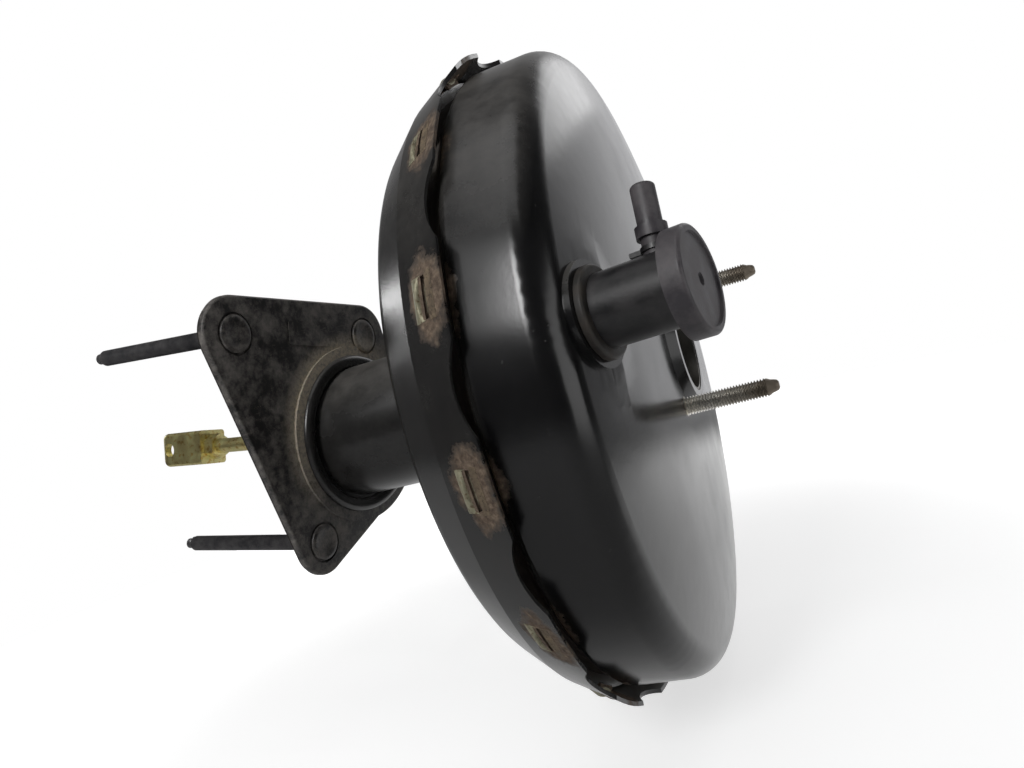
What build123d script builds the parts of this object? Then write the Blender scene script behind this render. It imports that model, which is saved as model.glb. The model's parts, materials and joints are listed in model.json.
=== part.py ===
"""Single-diaphragm vacuum brake booster with an angled bulkhead bracket.

Frame, in millimetres: +X runs along the booster's axis, forward to the master cylinder, and +Z is up.
The origin is where that axis crosses the face that bears on the bulkhead.
"""

import os
from math import cos, hypot, pi, radians, sin, tan

from build123d import *

os.makedirs("parts", exist_ok=True)

# ---------------------------------------------------------------- driving dimensions

# clearances
running_gap = 0.06  # radial, between parts that slide in each other
seat_gap = 0.05  # between parts that are assembled face to face
bolt_gap = 1.5  # round a stud in a loose hole

# shells
sheet = 1.6  # pressed steel of both shells
bend_x = 115.0  # where the rear shell bends into its rim band
bend_radius = 140.0  # outside radius there
band_length = 20.0  # rim band, from the bend to its front edge
band_flare = 10.0  # what the band gains in radius on the way
flank_length = 17.0  # behind the bend, to the corner of the rear shell's face
flank_rise = 13.5  # what the flank gains in radius on the way
flank_bend = 13.0
lance_count = 14  # lances that lock the two shells together
first_lance_angle = 135.3
lance_width = 15.0  # round the rim
lance_slit = 2.0
lance_length = 2.1  # along the axis, from its root to the slit
lance_gap = 0.3  # in front of the clamped flange
lance_depth = 3.2  # how far its tongue is pressed in
scallop_depth = 4.5  # dip of the band's edge between two lances
scallop_radius = 30.0
neck_radius = 33.6  # outside of the rear neck
neck_root_x = 66.0  # where the neck turns into the rear shell's face
neck_root_bend = 8.0
clamp_x = 6.5  # from the bend to the front shell's clamped flange
wall_step = 2.0  # the front shell's wall stands this far outside the bend
groove_depth = 5.5  # of the groove behind that wall, where the lances reach in
groove_bend = 3.0
shoulder_radius = 13.0
seat_x = 182.6  # master cylinder's seat
shoulder_drop = 16.1  # from the seat back to the shoulder's corner
dome_drop = 7.3  # from the seat back to the middle of the dome
dome_width = 38.0  # from the wall in to the same place
dome_edge = 45.0  # radius at which the dome levels out
pad_height = 4.0  # of the seat's raised ring above the domed face
pad_radius = 25.0  # of that ring, round the pilot
pad_taper = 40.0

# master cylinder interface
pilot_radius = 20.0  # bore for the master cylinder's pilot
stud_circle = 34.0  # radius on which its two studs stand
stud_radius = 4.0  # M8, front and rear
knurl_radius = 4.4  # of a stud's neck, pressed into its plate
front_stud_length = 35.6
stud_diagonal = 45.0  # angle of the stud line from +Y
stud_head_radius = 6.5
stud_head_height = 3.0
stud_tip_length = 5.0
stud_tip_cone = 2.0
stud_tip_radius = 2.7
stud_plate_thickness = 4.0
stud_plate_eye = 27.0  # plate's outline round the pilot
stud_plate_lobe = 11.0  # and round a stud
pilot_collar = 1.5  # thickness of the collar that lines the pilot bore

# bulkhead interface
bracket_yaw = -10.7  # the bulkhead isn't square to the axis
bracket_pitch = 6.4
bracket_roll = -11.5
bracket_sheet = 3.0
gasket_thickness = 2.0
rear_stud_length = 95.0
rear_stud_angles = (147.956, 79.008, 239.229)
rear_stud_margins = (42.987, 4.172, 12.186)  # of each stud's head outside the neck's foot
corner_radii = (18.0, 17.0, 16.0)
foot_flange = 6.4  # width of the neck's foot on the bracket
foot_rib = 6.0  # width of the raised rib round the foot
rib_height = 1.2
recess_radius = 10.0  # round a stud's head
recess_depth = 1.2
boss_radius = 8.8  # rear stud's head
boss_height = 2.0
label_pad = (-31.0, 51.0, 28.0, 12.0)  # bare pad: where it is, and its size
label_height = 0.5
bearing_margin = 0.68  # of the hub bearing's rear face from the slanted foot
bearing_width = 7.5

# valve body
hub_radius = 20.0  # the part of the valve body that slides in the neck
hub_wall = 3.5
hub_clearance = 7.5  # round the hub, in the bracket's hole
hub_rear_x = -32.0
plunger_radius = 6.0
flange_x = 84.0  # valve body's flange under the diaphragm
flange_radius = 40.0
flange_thickness = 5.0
nose_radius = 27.0
nose_length = 15.0  # valve body in front of its flange
disc_radius = 15.0
disc_thickness = 6.0
cup_depth = 10.0  # recess for the output rod's head
cup_radius = 17.6
poppet_face_x = 2.95
poppet_lift = 0.6  # gap between the valve body's seat and the poppet, at rest
passage_circle = 14.0
key_x = 50.0  # key that stops the plunger
key_thickness = 3.0
key_width = 10.2
plunger_play = 1.65  # between the plunger and the reaction disc, at rest

# diaphragm
diaphragm_thickness = 1.8
plate_sheet = 1.2
dish_depth = 8.6
roll_width = 31.0  # free width of the diaphragm, from its plate out to the bend
bead_radius = 2.8
bead_drop = 5.5  # from the bend in to the middle of the bead

# output rod
output_rod_radius = 6.5
output_tip_drop = 10.2  # its tip stays this far behind the seat, clear of the pilot bore
output_screw_radius = 3.6

# input rod, which turns on its ball at the origin
ball_radius = 4.6
rod_radius = 4.2
rod_neck_radius = 2.6
nut_start = 101.5  # along the rod, from the centre of its ball
nut_length = 7.0
nut_across_flats = 13.0
clevis_length = 38.0
clevis_width = 18.0
clevis_height = 20.0
clevis_slot = 9.0
clevis_slot_depth = 17.0
clevis_eye_radius = 4.1
clevis_eye_from_end = 10.0
clevis_bend = 2.0
rod_swing = 3.0  # degrees, each way
collar_at = 27.0  # along the rod, seat of its return spring
collar_width = 1.5
rod_collar_radius = 5.6

# vacuum port
port_angle = 166.9  # round the booster's axis, from +Y
port_inset = 26.0  # from the front shell's wall in to the port's foot
port_tilt = 10.5  # it leans outwards
port_radius = 12.9
port_wall = 2.2
port_length = 31.4
port_inside = 9.0  # what reaches into the front chamber
port_flat_margin = 6.1  # flat that the port stands on, round its tube
port_seat = 1.5  # height of that flat above the dome, at its middle
grommet_lip = 3.4
port_cap_overhang = 5.3
port_cap_thickness = 7.5
port_cap_edge = 1.4
nipple_turn = 16.0  # from straight up, away from the axis
nipple_radius = 4.2
nipple_bore = 2.4
nipple_length = 36.5  # from the port's centre line
nipple_along = 25.8  # from the port's foot
ledge_top = 4.0  # of the check valve's ledge in the port, above its foot
ledge_width = 2.0
valve_seat_thickness = 1.6
nipple_collar = (5.1, 1.2, 4.0)  # start outside the port's wall, height and width
clip_thickness = 1.6

# springs
return_wire = 3.4
return_turns = 4
return_radii = (34.0, 23.6)  # at the piston and at the front shell
valve_wire = 1.0

# dust boot
boot_wall = 1.4
boot_ridge = 12.4  # of its folds, outside the hub
boot_valley = 8.8


# ---------------------------------------------------------------- shared construction


def outline(*corners):
    """Closed section in (x, radius). A third number in a corner is its bend radius."""
    with BuildSketch() as section:
        with BuildLine():
            Polyline(*[corner[:2] for corner in corners], close=True)
        make_face()
        for corner in corners:
            if len(corner) == 3:
                fillet(section.vertices().sort_by_distance(corner[:2])[0], corner[2])
    return Plane.XZ * section.sketch


def ring(x_from, x_to, inner, outer):
    """Section of a plain ring about the X axis."""
    return outline((x_from, inner), (x_to, inner), (x_to, outer), (x_from, outer))


def skin(thickness, *points):
    """Section of a soft skin of even thickness along a line of (x, radius) points."""
    with BuildSketch() as section:
        with BuildLine() as line:
            Polyline(*points)
        trace(line.edges(), line_width=thickness)
    return Plane.XZ * section.sketch


def coil(start_radius, end_radius, length, turns, wire, chords=12):
    """Round-wire spring along +X from the origin, each turn drawn as a number of straight chords."""
    rise = length - wire
    steps = turns * chords
    points = []
    for step in range(steps + 1):
        share = step / steps
        radius = start_radius + (end_radius - start_radius) * share
        angle = 2 * pi * step / chords
        points.append((wire / 2 + rise * share, radius * cos(angle), radius * sin(angle)))
    with BuildPart() as spring:
        with BuildLine() as centre:
            Polyline(*points)
        with BuildSketch(Plane(origin=centre.line @ 0, z_dir=centre.line % 0)):
            Circle(wire / 2)
        sweep(path=centre.line, transition=Transition.RIGHT)
    return spring.part


def tilted(yaw, pitch, roll, origin=(0, 0, 0)):
    """Plane whose normal is +X, pitched, yawed, and then rolled about itself."""
    normal = Vector(1, 0, 0).rotate(Axis.Y, pitch).rotate(Axis.Z, yaw)
    level = Vector(0, 1, 0).rotate(Axis.Z, yaw)
    return Plane(origin=origin, x_dir=level.rotate(Axis((0, 0, 0), normal), roll), z_dir=normal)


def band_radius(x):
    """Outside radius of the rim band."""
    return bend_radius + (x - bend_x) * band_flare / band_length


band_end_x = bend_x + band_length
band_cut = sheet * hypot(band_length, band_flare) / band_length  # the sheet, measured across the axis
neck_bore = neck_radius - sheet
wall_radius = bend_radius + wall_step
hub_bore = hub_radius - hub_wall
hub_hole_radius = hub_radius + hub_clearance
foot_radius = neck_radius + foot_flange
bracket_plane = tilted(bracket_yaw, bracket_pitch, bracket_roll)
plate_back = bracket_plane.offset(gasket_thickness)
plate_front = bracket_plane.offset(gasket_thickness + bracket_sheet)
bracket_axis = Axis((0, 0, 0), bracket_plane.z_dir)
rear_stud_places = [
    Vector(foot_radius + boss_radius + margin, 0).rotate(Axis.Z, angle).to_tuple()[:2]
    for angle, margin in zip(rear_stud_angles, rear_stud_margins)
]

# ---------------------------------------------------------------- rear shell

flank_corner = (bend_x - flank_length, bend_radius - flank_rise)
flank_cut = 0.38 * sheet  # the sheet, measured across the axis at that corner
flange_rear_x = bend_x + clamp_x  # rear face of the front shell's clamped flange
lance_pitch = 360 / lance_count

with BuildPart() as rear_shell:
    revolve(
        outline(
            (-30, 0),
            (-30, neck_radius),
            (neck_root_x, neck_radius, neck_root_bend),
            (*flank_corner, flank_bend),
            (bend_x, bend_radius),
            (band_end_x, band_radius(band_end_x)),
            (band_end_x, 0),
        ),
        axis=Axis.X,
    )
    revolve(
        outline(
            (-31, 0),
            (-31, neck_bore),
            (neck_root_x + sheet, neck_bore, neck_root_bend + sheet),
            (flank_corner[0] + sheet, flank_corner[1] - flank_cut, flank_bend - sheet),
            (bend_x, bend_radius - band_cut),
            (band_end_x + 1, band_radius(band_end_x + 1) - band_cut),
            (band_end_x + 1, 0),
        ),
        axis=Axis.X,
        mode=Mode.SUBTRACT,
    )
    # the neck ends on the bracket, in a foot that is flanged both ways
    split(bisect_by=plate_front, keep=Keep.TOP)
    with BuildSketch(plate_front):
        Circle(foot_radius)
        Circle(hub_hole_radius, mode=Mode.SUBTRACT)
    extrude(amount=sheet)
    # the band's front edge dips between the lances
    for index in range(lance_count):
        dip = Plane.XY.rotated((first_lance_angle - 90 + (index + 0.5) * lance_pitch, 0, 0))
        with BuildSketch(dip.offset(bend_radius - band_flare)):
            with Locations((band_end_x - scallop_depth + scallop_radius, 0)):
                Circle(scallop_radius)
        extrude(amount=3 * band_flare, mode=Mode.SUBTRACT)
    # each lance is a slit, and a tongue behind it that is pressed in ahead of the front shell's flange
    tongue_root_x = flange_rear_x + sheet + lance_gap
    slit_x = tongue_root_x + lance_length
    for index in range(lance_count):
        across = Plane.XZ.rotated((first_lance_angle - 90 + index * lance_pitch, 0, 0))
        with BuildSketch(across):
            with Locations((slit_x + lance_slit / 2, band_radius(slit_x))):
                Rectangle(lance_slit, 4 * lance_depth)
        extrude(amount=lance_width / 2, both=True, mode=Mode.SUBTRACT)
        with BuildSketch(across):
            with BuildLine():
                Polyline(
                    (tongue_root_x, band_radius(tongue_root_x)),
                    (slit_x, band_radius(slit_x) - lance_depth),
                    (slit_x, band_radius(slit_x) - lance_depth - band_cut),
                    (tongue_root_x, band_radius(tongue_root_x) - band_cut),
                    close=True,
                )
            make_face()
        extrude(amount=lance_width / 2, both=True)

# ---------------------------------------------------------------- front shell

groove_radius = wall_radius - groove_depth
groove_end_x = flange_rear_x + sheet + lance_length + lance_slit + 1
wall_start_x = groove_end_x + groove_depth
shoulder_x = seat_x - shoulder_drop
dome_mid = (seat_x - dome_drop, wall_radius - dome_width)
dome_x = seat_x - pad_height
port_circle = wall_radius - port_inset
stud_angles = (stud_diagonal, stud_diagonal + 180)
stud_points = [
    (stud_circle * cos(radians(angle)), stud_circle * sin(radians(angle))) for angle in stud_angles
]


def port_foot():
    """Plane of the port, on the dome, leaning outwards, with its X towards the nipple."""
    share = (port_circle - dome_mid[1]) / (wall_radius - dome_mid[1])
    out = Vector(0, cos(radians(port_angle)), sin(radians(port_angle)))
    lean = Vector(1, 0, 0) * cos(radians(port_tilt)) + out * sin(radians(port_tilt))
    up = Vector(0, sin(radians(nipple_turn)), cos(radians(nipple_turn)))
    up = up - lean * up.dot(lean)
    on_dome = Vector(dome_mid[0] + share * (shoulder_x - dome_mid[0]), 0, 0) + out * port_circle
    return Plane(origin=on_dome, x_dir=up, z_dir=lean)


port = port_foot()
port_axis = Axis(port.origin, port.z_dir)
port_flat_radius = port_radius + port_flat_margin


def front_form(back_off):
    """Solid bounded by the front shell's surface, moved inwards by back_off."""
    steep = back_off * 0.4  # along the axis, where the wall steps up at a slant
    pad_inset = tan(radians(45 - pad_taper / 2))  # across it, where the pad's side slants
    with BuildPart() as form:
        revolve(
            outline(
                (flange_rear_x - back_off, 0),
                (flange_rear_x - back_off, groove_radius - back_off),
                (groove_end_x + steep, groove_radius - back_off, groove_bend),
                (wall_start_x + steep, wall_radius - back_off, groove_bend),
                (shoulder_x - back_off, wall_radius - back_off, shoulder_radius - back_off),
                (dome_mid[0] - back_off, dome_mid[1]),
                (dome_x - back_off, dome_edge),
                (dome_x - back_off, 0),
            ),
            axis=Axis.X,
        )
        with BuildSketch(Plane.YZ.offset(seat_x - back_off)):
            Circle(pad_radius - pad_inset * back_off)
        extrude(amount=-2 * pad_height, taper=-pad_taper)
        # flat that the port stands on, let into the dome on one side and raised on the other
        with BuildSketch(port.offset(port_seat - back_off)):
            Circle(port_flat_radius - back_off)
        extrude(amount=-10)
        with BuildSketch(port.offset(port_seat - back_off)):
            Circle(port_flat_radius + back_off)
        extrude(amount=12, mode=Mode.SUBTRACT)
    return form.part


collar_outer = pilot_radius + pilot_collar

with BuildPart() as front_shell:
    add(front_form(0))
    revolve(
        ring(
            flange_rear_x,
            flange_rear_x + sheet,
            groove_radius - 2 * sheet,
            band_radius(flange_rear_x) - band_cut - 2 * seat_gap,
        ),
        axis=Axis.X,
    )
    add(front_form(sheet), mode=Mode.SUBTRACT)
    with BuildSketch(Plane.YZ.offset(seat_x - 10)):
        Circle(collar_outer + seat_gap)
        with Locations(*stud_points):
            Circle(knurl_radius + seat_gap)
    extrude(amount=20, mode=Mode.SUBTRACT)
    with BuildSketch(port.offset(-10)):
        Circle(port_radius + 2)
    extrude(amount=20, mode=Mode.SUBTRACT)

stud_plate_x = dome_x - sheet - seat_gap
collar_recess = 0.3  # of the pilot's collar below the seat
with BuildPart() as stud_plate:
    with BuildSketch(Plane.YZ.offset(stud_plate_x)):
        Circle(stud_plate_eye)
        with Locations(*stud_points):
            Circle(stud_plate_lobe)
        make_hull()
    extrude(amount=-stud_plate_thickness)
    with BuildSketch(Plane.YZ.offset(stud_plate_x)):
        Circle(collar_outer)
    extrude(amount=pad_height + sheet - collar_recess)
    with BuildSketch(Plane.YZ.offset(seat_x)):
        Circle(pilot_radius)
        with Locations(*stud_points):
            Circle(knurl_radius + seat_gap)
    extrude(amount=-20, mode=Mode.SUBTRACT)

with BuildPart() as master_cylinder_studs:
    head_x = stud_plate_x - stud_plate_thickness - seat_gap
    with BuildSketch(Plane.YZ.offset(head_x)):
        with Locations(*stud_points):
            Circle(stud_head_radius)
    extrude(amount=-stud_head_height)
    with BuildSketch(Plane.YZ.offset(head_x)):
        with Locations(*stud_points):
            Circle(knurl_radius)
    extrude(amount=dome_x - head_x)
    with BuildSketch(Plane.YZ.offset(dome_x)):
        with Locations(*stud_points):
            Circle(stud_radius)
    extrude(amount=pad_height + front_stud_length - stud_tip_length)
    for point in stud_points:
        start = seat_x + front_stud_length - stud_tip_length
        with BuildSketch(Plane.YZ.offset(start)):
            with Locations(point):
                Circle(stud_radius)
        with BuildSketch(Plane.YZ.offset(start + stud_tip_cone)):
            with Locations(point):
                Circle(stud_tip_radius)
        loft()
        with BuildSketch(Plane.YZ.offset(start + stud_tip_cone)):
            with Locations(point):
                Circle(stud_tip_radius)
        extrude(amount=stud_tip_length - stud_tip_cone)

# ---------------------------------------------------------------- bulkhead bracket


def bracket_outline(inset, hole):
    """Triangle of rounded corners round the studs, with an eye round the neck."""
    with BuildSketch() as face:
        for place, radius in zip(rear_stud_places, corner_radii):
            with Locations(place):
                Circle(radius - inset)
        Circle(foot_radius + foot_rib - 1 - inset)
        make_hull()
        Circle(hole, mode=Mode.SUBTRACT)
    return face.sketch


with BuildPart() as bulkhead_bracket:
    with BuildSketch(plate_back):
        add(bracket_outline(0, hub_hole_radius + 1))
    extrude(amount=bracket_sheet)
    fillet(bulkhead_bracket.faces().sort_by(bracket_axis)[-1].outer_wire().edges(), 1.2)
    # raised rib round the neck's foot, and a bare pad between the upper studs
    with BuildSketch(plate_front):
        Circle(foot_radius + foot_rib)
        Circle(foot_radius + 6 * seat_gap, mode=Mode.SUBTRACT)
    extrude(amount=rib_height)
    with BuildSketch(plate_front):
        with Locations(label_pad[:2]):
            RectangleRounded(*label_pad[2:], 1.5)
    extrude(amount=label_height)
    with BuildSketch(plate_front.offset(-recess_depth)):
        with Locations(*rear_stud_places):
            Circle(recess_radius)
    extrude(amount=2 * bracket_sheet, mode=Mode.SUBTRACT)
    with BuildSketch(plate_front):
        with Locations(*rear_stud_places):
            Circle(knurl_radius + seat_gap)
    extrude(amount=-2 * bracket_sheet, mode=Mode.SUBTRACT)

with BuildPart() as bracket_gasket:
    with BuildSketch(bracket_plane):
        add(bracket_outline(1.0, hub_hole_radius + 2))
        with Locations(*rear_stud_places):
            Circle(stud_radius + bolt_gap, mode=Mode.SUBTRACT)
    extrude(amount=gasket_thickness - seat_gap / 5)

with BuildPart() as bulkhead_studs:
    head_plane = plate_front.offset(-recess_depth + seat_gap)
    with BuildSketch(head_plane):
        with Locations(*rear_stud_places):
            Circle(boss_radius)
    extrude(amount=boss_height)
    fillet(bulkhead_studs.faces().group_by(bracket_axis)[-1].edges(), 0.4 * boss_height)
    with BuildSketch(head_plane):
        with Locations(*rear_stud_places):
            Circle(knurl_radius)
    extrude(amount=recess_depth - seat_gap - bracket_sheet)
    with BuildSketch(plate_back):
        with Locations(*rear_stud_places):
            Circle(stud_radius)
    extrude(amount=stud_tip_length - rear_stud_length - gasket_thickness)
    for place in rear_stud_places:
        cone_start = bracket_plane.offset(stud_tip_length - rear_stud_length)
        with BuildSketch(cone_start):
            with Locations(place):
                Circle(stud_radius)
        with BuildSketch(cone_start.offset(-stud_tip_cone)):
            with Locations(place):
                Circle(stud_tip_radius)
        loft()
        with BuildSketch(cone_start.offset(-stud_tip_cone)):
            with Locations(place):
                Circle(stud_tip_radius)
        extrude(amount=stud_tip_cone - stud_tip_length)

# ---------------------------------------------------------------- hub seal in the neck

slant = bracket_plane.z_dir
foot_height = (gasket_thickness + bracket_sheet + sheet + neck_bore * hypot(slant.Y, slant.Z)) / slant.X
bearing_x = foot_height + bearing_margin
slide_radius = hub_radius + running_gap
with BuildPart() as hub_bearing:
    revolve(ring(bearing_x, bearing_x + bearing_width, slide_radius, neck_bore - seat_gap), axis=Axis.X)
    # moulded ribs stay between round pockets
    with BuildSketch(Plane.YZ.offset(bearing_x + bearing_width)):
        with PolarLocations((slide_radius + neck_bore) / 2, 12):
            Circle(2.2)
    extrude(amount=-bearing_width + 1.5, mode=Mode.SUBTRACT)

seal_x = bearing_x + bearing_width + seat_gap
seal_width = 7.0
with BuildPart() as hub_seal:
    revolve(
        outline(
            (seal_x, slide_radius),
            (seal_x, neck_bore - seat_gap),
            (seal_x + seal_width, neck_bore - seat_gap),
            (seal_x + seal_width, neck_bore - 3),
            (seal_x + 3, neck_bore - 3),
            (seal_x + 3, slide_radius + 2.5),
            (seal_x + seal_width - 1, slide_radius + 2),
            (seal_x + seal_width - 1, slide_radius),
        ),
        axis=Axis.X,
    )

with BuildPart() as seal_retainer:
    retainer_x = seal_x + seal_width + seat_gap
    revolve(
        outline(
            (retainer_x, neck_bore - 4),
            (retainer_x + 1, neck_bore - 4),
            (retainer_x + 1, neck_bore - 1, 0.5),
            (retainer_x + 4, neck_bore - 1),
            (retainer_x + 4, neck_bore - seat_gap),
            (retainer_x, neck_bore - seat_gap),
        ),
        axis=Axis.X,
    )

# ---------------------------------------------------------------- valve body

flange_front_x = flange_x + flange_thickness
nose_x = flange_front_x + nose_length
disc_x = nose_x - cup_depth
plunger_seat_x = poppet_face_x + seat_gap
body_seat_x = poppet_face_x + poppet_lift
chamber_x = body_seat_x + 6

with BuildPart() as valve_body:
    revolve(
        outline(
            (hub_rear_x, hub_bore),
            (hub_rear_x, hub_radius),
            (flange_x - 6, hub_radius),
            (flange_x, flange_radius - 8, 2),
            (flange_x, flange_radius),
            (flange_front_x, flange_radius),
            (flange_front_x, nose_radius),
            (nose_x, nose_radius),
            (nose_x, cup_radius),
            (disc_x, cup_radius),
            (disc_x, plunger_radius + running_gap),
            (chamber_x - 2, plunger_radius + running_gap),
            (chamber_x - 2, plunger_radius + 4),
            (body_seat_x, plunger_radius + 4.2),
            (body_seat_x, plunger_radius + 5.2),
            (chamber_x, plunger_radius + 6),
            (chamber_x, hub_bore),
        ),
        axis=Axis.X,
    )
    # passages to the front chamber, and a window for the key that stops the plunger
    with BuildSketch(Plane.YZ.offset(nose_x + 1)):
        with PolarLocations(nose_radius - 4.5, 6):
            Circle(2.4)
    extrude(amount=flange_x - nose_x - 10, mode=Mode.SUBTRACT)
    with BuildSketch(Plane.YZ.offset(chamber_x - 1)):
        with PolarLocations(passage_circle, 4, start_angle=45):
            Circle(2.0)
    extrude(amount=flange_x - chamber_x - 10, mode=Mode.SUBTRACT)
    with BuildSketch(Plane.YZ.offset(key_x - seat_gap)):
        with Locations((0, 5)):
            Rectangle(key_width + 4 * seat_gap, 2 * hub_radius)
    extrude(amount=key_thickness + 2 * seat_gap, mode=Mode.SUBTRACT)

with BuildPart() as plunger_key:
    with BuildSketch(Plane.YZ.offset(key_x)):
        with Locations((0, 2)):
            RectangleRounded(key_width, 1.5 * hub_radius, 1.5)
        with Locations((0, plunger_radius - 15.5)):
            Rectangle(2 * (plunger_radius - 1.5), 28, mode=Mode.SUBTRACT)
    extrude(amount=key_thickness)

socket_radius = ball_radius + running_gap
with BuildPart() as valve_plunger:
    revolve(
        outline(
            (-2.5, 0),
            (-2.5, 6.4),
            (plunger_seat_x, 6.4),
            (plunger_seat_x, plunger_radius + 3),
            (plunger_seat_x + 2.8, plunger_radius + 3),
            (plunger_seat_x + 2.8, plunger_radius),
            (key_x - 1.6, plunger_radius),
            (key_x - 1.6, plunger_radius - 1.8),
            (key_x + key_thickness + 0.1, plunger_radius - 1.8),
            (key_x + key_thickness + 0.1, plunger_radius),
            (disc_x - plunger_play, plunger_radius),
            (disc_x - plunger_play, 0),
        ),
        axis=Axis.X,
    )
    Sphere(socket_radius, mode=Mode.SUBTRACT)

# ---------------------------------------------------------------- poppet and its springs

bead_x = -10.0  # front face of the poppet's clamped bead
with BuildPart() as poppet_seal:
    revolve(
        outline(
            (poppet_face_x - 2.6, 7.0),
            (poppet_face_x, 7.0),
            (poppet_face_x, hub_bore - 3.4),
            (poppet_face_x - 2, hub_bore - 2),
            (bead_x, hub_bore - 1.6),
            (bead_x, hub_bore - seat_gap),
            (bead_x - 3, hub_bore - seat_gap),
            (bead_x - 3, hub_bore - 3),
            (poppet_face_x - 2.6, hub_bore - 3.6),
        ),
        axis=Axis.X,
    )

poppet_spring_radius = hub_bore - 4.6
with BuildPart() as poppet_spring:
    length = poppet_face_x - 2.6 - bead_x + 3 - 2 * seat_gap
    add(Pos(bead_x - 3 + seat_gap, 0, 0) * coil(poppet_spring_radius, poppet_spring_radius, length, 3, valve_wire))

with BuildPart() as poppet_retainer:
    retainer_front_x = bead_x - 3 - seat_gap
    revolve(ring(retainer_front_x - 1.6, retainer_front_x, 9.0, hub_bore - seat_gap), axis=Axis.X)

# ---------------------------------------------------------------- input rod

rod_line = Axis((0, 0, 0), -bracket_plane.z_dir)
rod_frame = Plane(origin=(0, 0, 0), x_dir=bracket_plane.y_dir, z_dir=rod_line.direction)
clevis_start = nut_start + nut_length + seat_gap
slot_start = clevis_start + clevis_length - clevis_slot_depth
rod_end = slot_start - 1.5

with BuildPart() as input_rod:
    Sphere(ball_radius)
    for start, end, radius in (
        (0, 10, rod_neck_radius),
        (10, rod_end, rod_radius),
        (collar_at, collar_at + collar_width, rod_collar_radius),
    ):
        with BuildSketch(rod_frame.offset(start)):
            Circle(radius)
        extrude(amount=end - start)

with BuildPart() as rod_return_spring:
    spring_start = 17.2
    along_rod = Location(rod_frame) * Location((0, 0, spring_start), (0, -90, 0))
    length = collar_at - seat_gap - spring_start
    add(along_rod * coil(rod_radius + 1.1, rod_radius + 1.1, length, 3, valve_wire))

with BuildPart() as clevis_nut:
    with BuildSketch(rod_frame.offset(nut_start)):
        RegularPolygon(nut_across_flats / 2, 6, major_radius=False)
        Circle(rod_radius + seat_gap, mode=Mode.SUBTRACT)
    extrude(amount=nut_length)

with BuildPart() as clevis:
    with BuildSketch(rod_frame.offset(clevis_start)):
        RectangleRounded(clevis_height, clevis_width, clevis_bend)
    extrude(amount=clevis_length)
    fork_end = clevis_start + clevis_length
    rounding = clevis_height / 2 - clevis_bend
    fillet(
        clevis.faces().sort_by(rod_line)[-1].edges().filter_by(Axis((0, 0, 0), bracket_plane.x_dir)),
        rounding,
    )
    with BuildSketch(rod_frame.offset(slot_start)):
        Rectangle(2 * clevis_height, clevis_slot)
    extrude(amount=2 * clevis_slot_depth, mode=Mode.SUBTRACT)
    with BuildSketch(rod_frame.offset(clevis_start)):
        Circle(rod_radius + seat_gap)
    extrude(amount=clevis_length, mode=Mode.SUBTRACT)
    eye_centre = rod_frame.from_local_coords((0, 0, fork_end - clevis_eye_from_end))
    with BuildSketch(Plane(origin=eye_centre, z_dir=bracket_plane.x_dir)):
        Circle(clevis_eye_radius)
    extrude(amount=clevis_width, both=True, mode=Mode.SUBTRACT)

# ---------------------------------------------------------------- air filter in the valve body's tail

filter_front_x = hub_rear_x + 7
lean = rod_line.direction
room = rod_collar_radius + abs(hub_rear_x) * radians(rod_swing) + 0.6


def filter_ring(x_from, x_to, outer):
    """Disc in the valve body's tail, with a hole where the leaning rod passes."""
    middle = (x_from + x_to) / 2
    with BuildPart() as disc:
        revolve(ring(x_from, x_to, 0, outer), axis=Axis.X)
        with BuildSketch(Plane.YZ.offset(x_from - 1)):
            with Locations((lean.Y / lean.X * middle, lean.Z / lean.X * middle)):
                Circle(room)
        extrude(amount=x_to - x_from + 2, mode=Mode.SUBTRACT)
    return disc.part


with BuildPart() as air_filter:
    add(filter_ring(hub_rear_x + 2.5, filter_front_x, hub_bore - 0.1))

with BuildPart() as filter_silencer:
    add(filter_ring(hub_rear_x + 0.5, hub_rear_x + 2.5 - seat_gap, hub_bore - 0.1))

with BuildPart() as filter_retainer:
    add(filter_ring(hub_rear_x - 1.2, hub_rear_x - 0.02, hub_radius - 0.5))

# ---------------------------------------------------------------- diaphragm and output

dish_x = flange_front_x + dish_depth  # rear face of the diaphragm plate's dish
plate_radius = bend_radius - roll_width
with BuildPart() as diaphragm_plate:
    revolve(
        outline(
            (flange_front_x + seat_gap, nose_radius + seat_gap),
            (flange_front_x + seat_gap, 46),
            (dish_x, 51),
            (dish_x, plate_radius, 5),
            (dish_x + 9, plate_radius),
            (dish_x + 9, plate_radius - plate_sheet),
            (dish_x + plate_sheet, plate_radius - plate_sheet, 3.8),
            (dish_x + plate_sheet, 51.5),
            (flange_front_x + seat_gap + plate_sheet, 46.5),
            (flange_front_x + seat_gap + plate_sheet, nose_radius + seat_gap),
        ),
        axis=Axis.X,
    )

skin_x = dish_x - diaphragm_thickness / 2 - seat_gap
with BuildPart() as diaphragm:
    revolve(
        skin(
            diaphragm_thickness,
            (flange_front_x - 2, flange_radius + 3),
            (flange_front_x - 1.2, 47),
            (skin_x - 0.3, 54),
            (skin_x, plate_radius + 1.2),
            (dish_x + 12, plate_radius + 1.4),
            (dish_x + 18, plate_radius + 0.25 * roll_width),
            (dish_x + 20, plate_radius + 0.55 * roll_width),
            (flange_rear_x - 5, bend_radius - bead_drop - 1.5),
        ),
        axis=Axis.X,
    )
    revolve(
        ring(flange_x + 1, flange_front_x - seat_gap, flange_radius + seat_gap, flange_radius + 4),
        axis=Axis.X,
    )
    with BuildSketch(Plane.XZ):
        with Locations((flange_rear_x - bead_radius - seat_gap, bend_radius - bead_drop)):
            Circle(bead_radius)
    revolve(axis=Axis.X)

with BuildPart() as reaction_disc:
    revolve(ring(disc_x + seat_gap, disc_x + disc_thickness, 0, disc_radius), axis=Axis.X)

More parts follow.
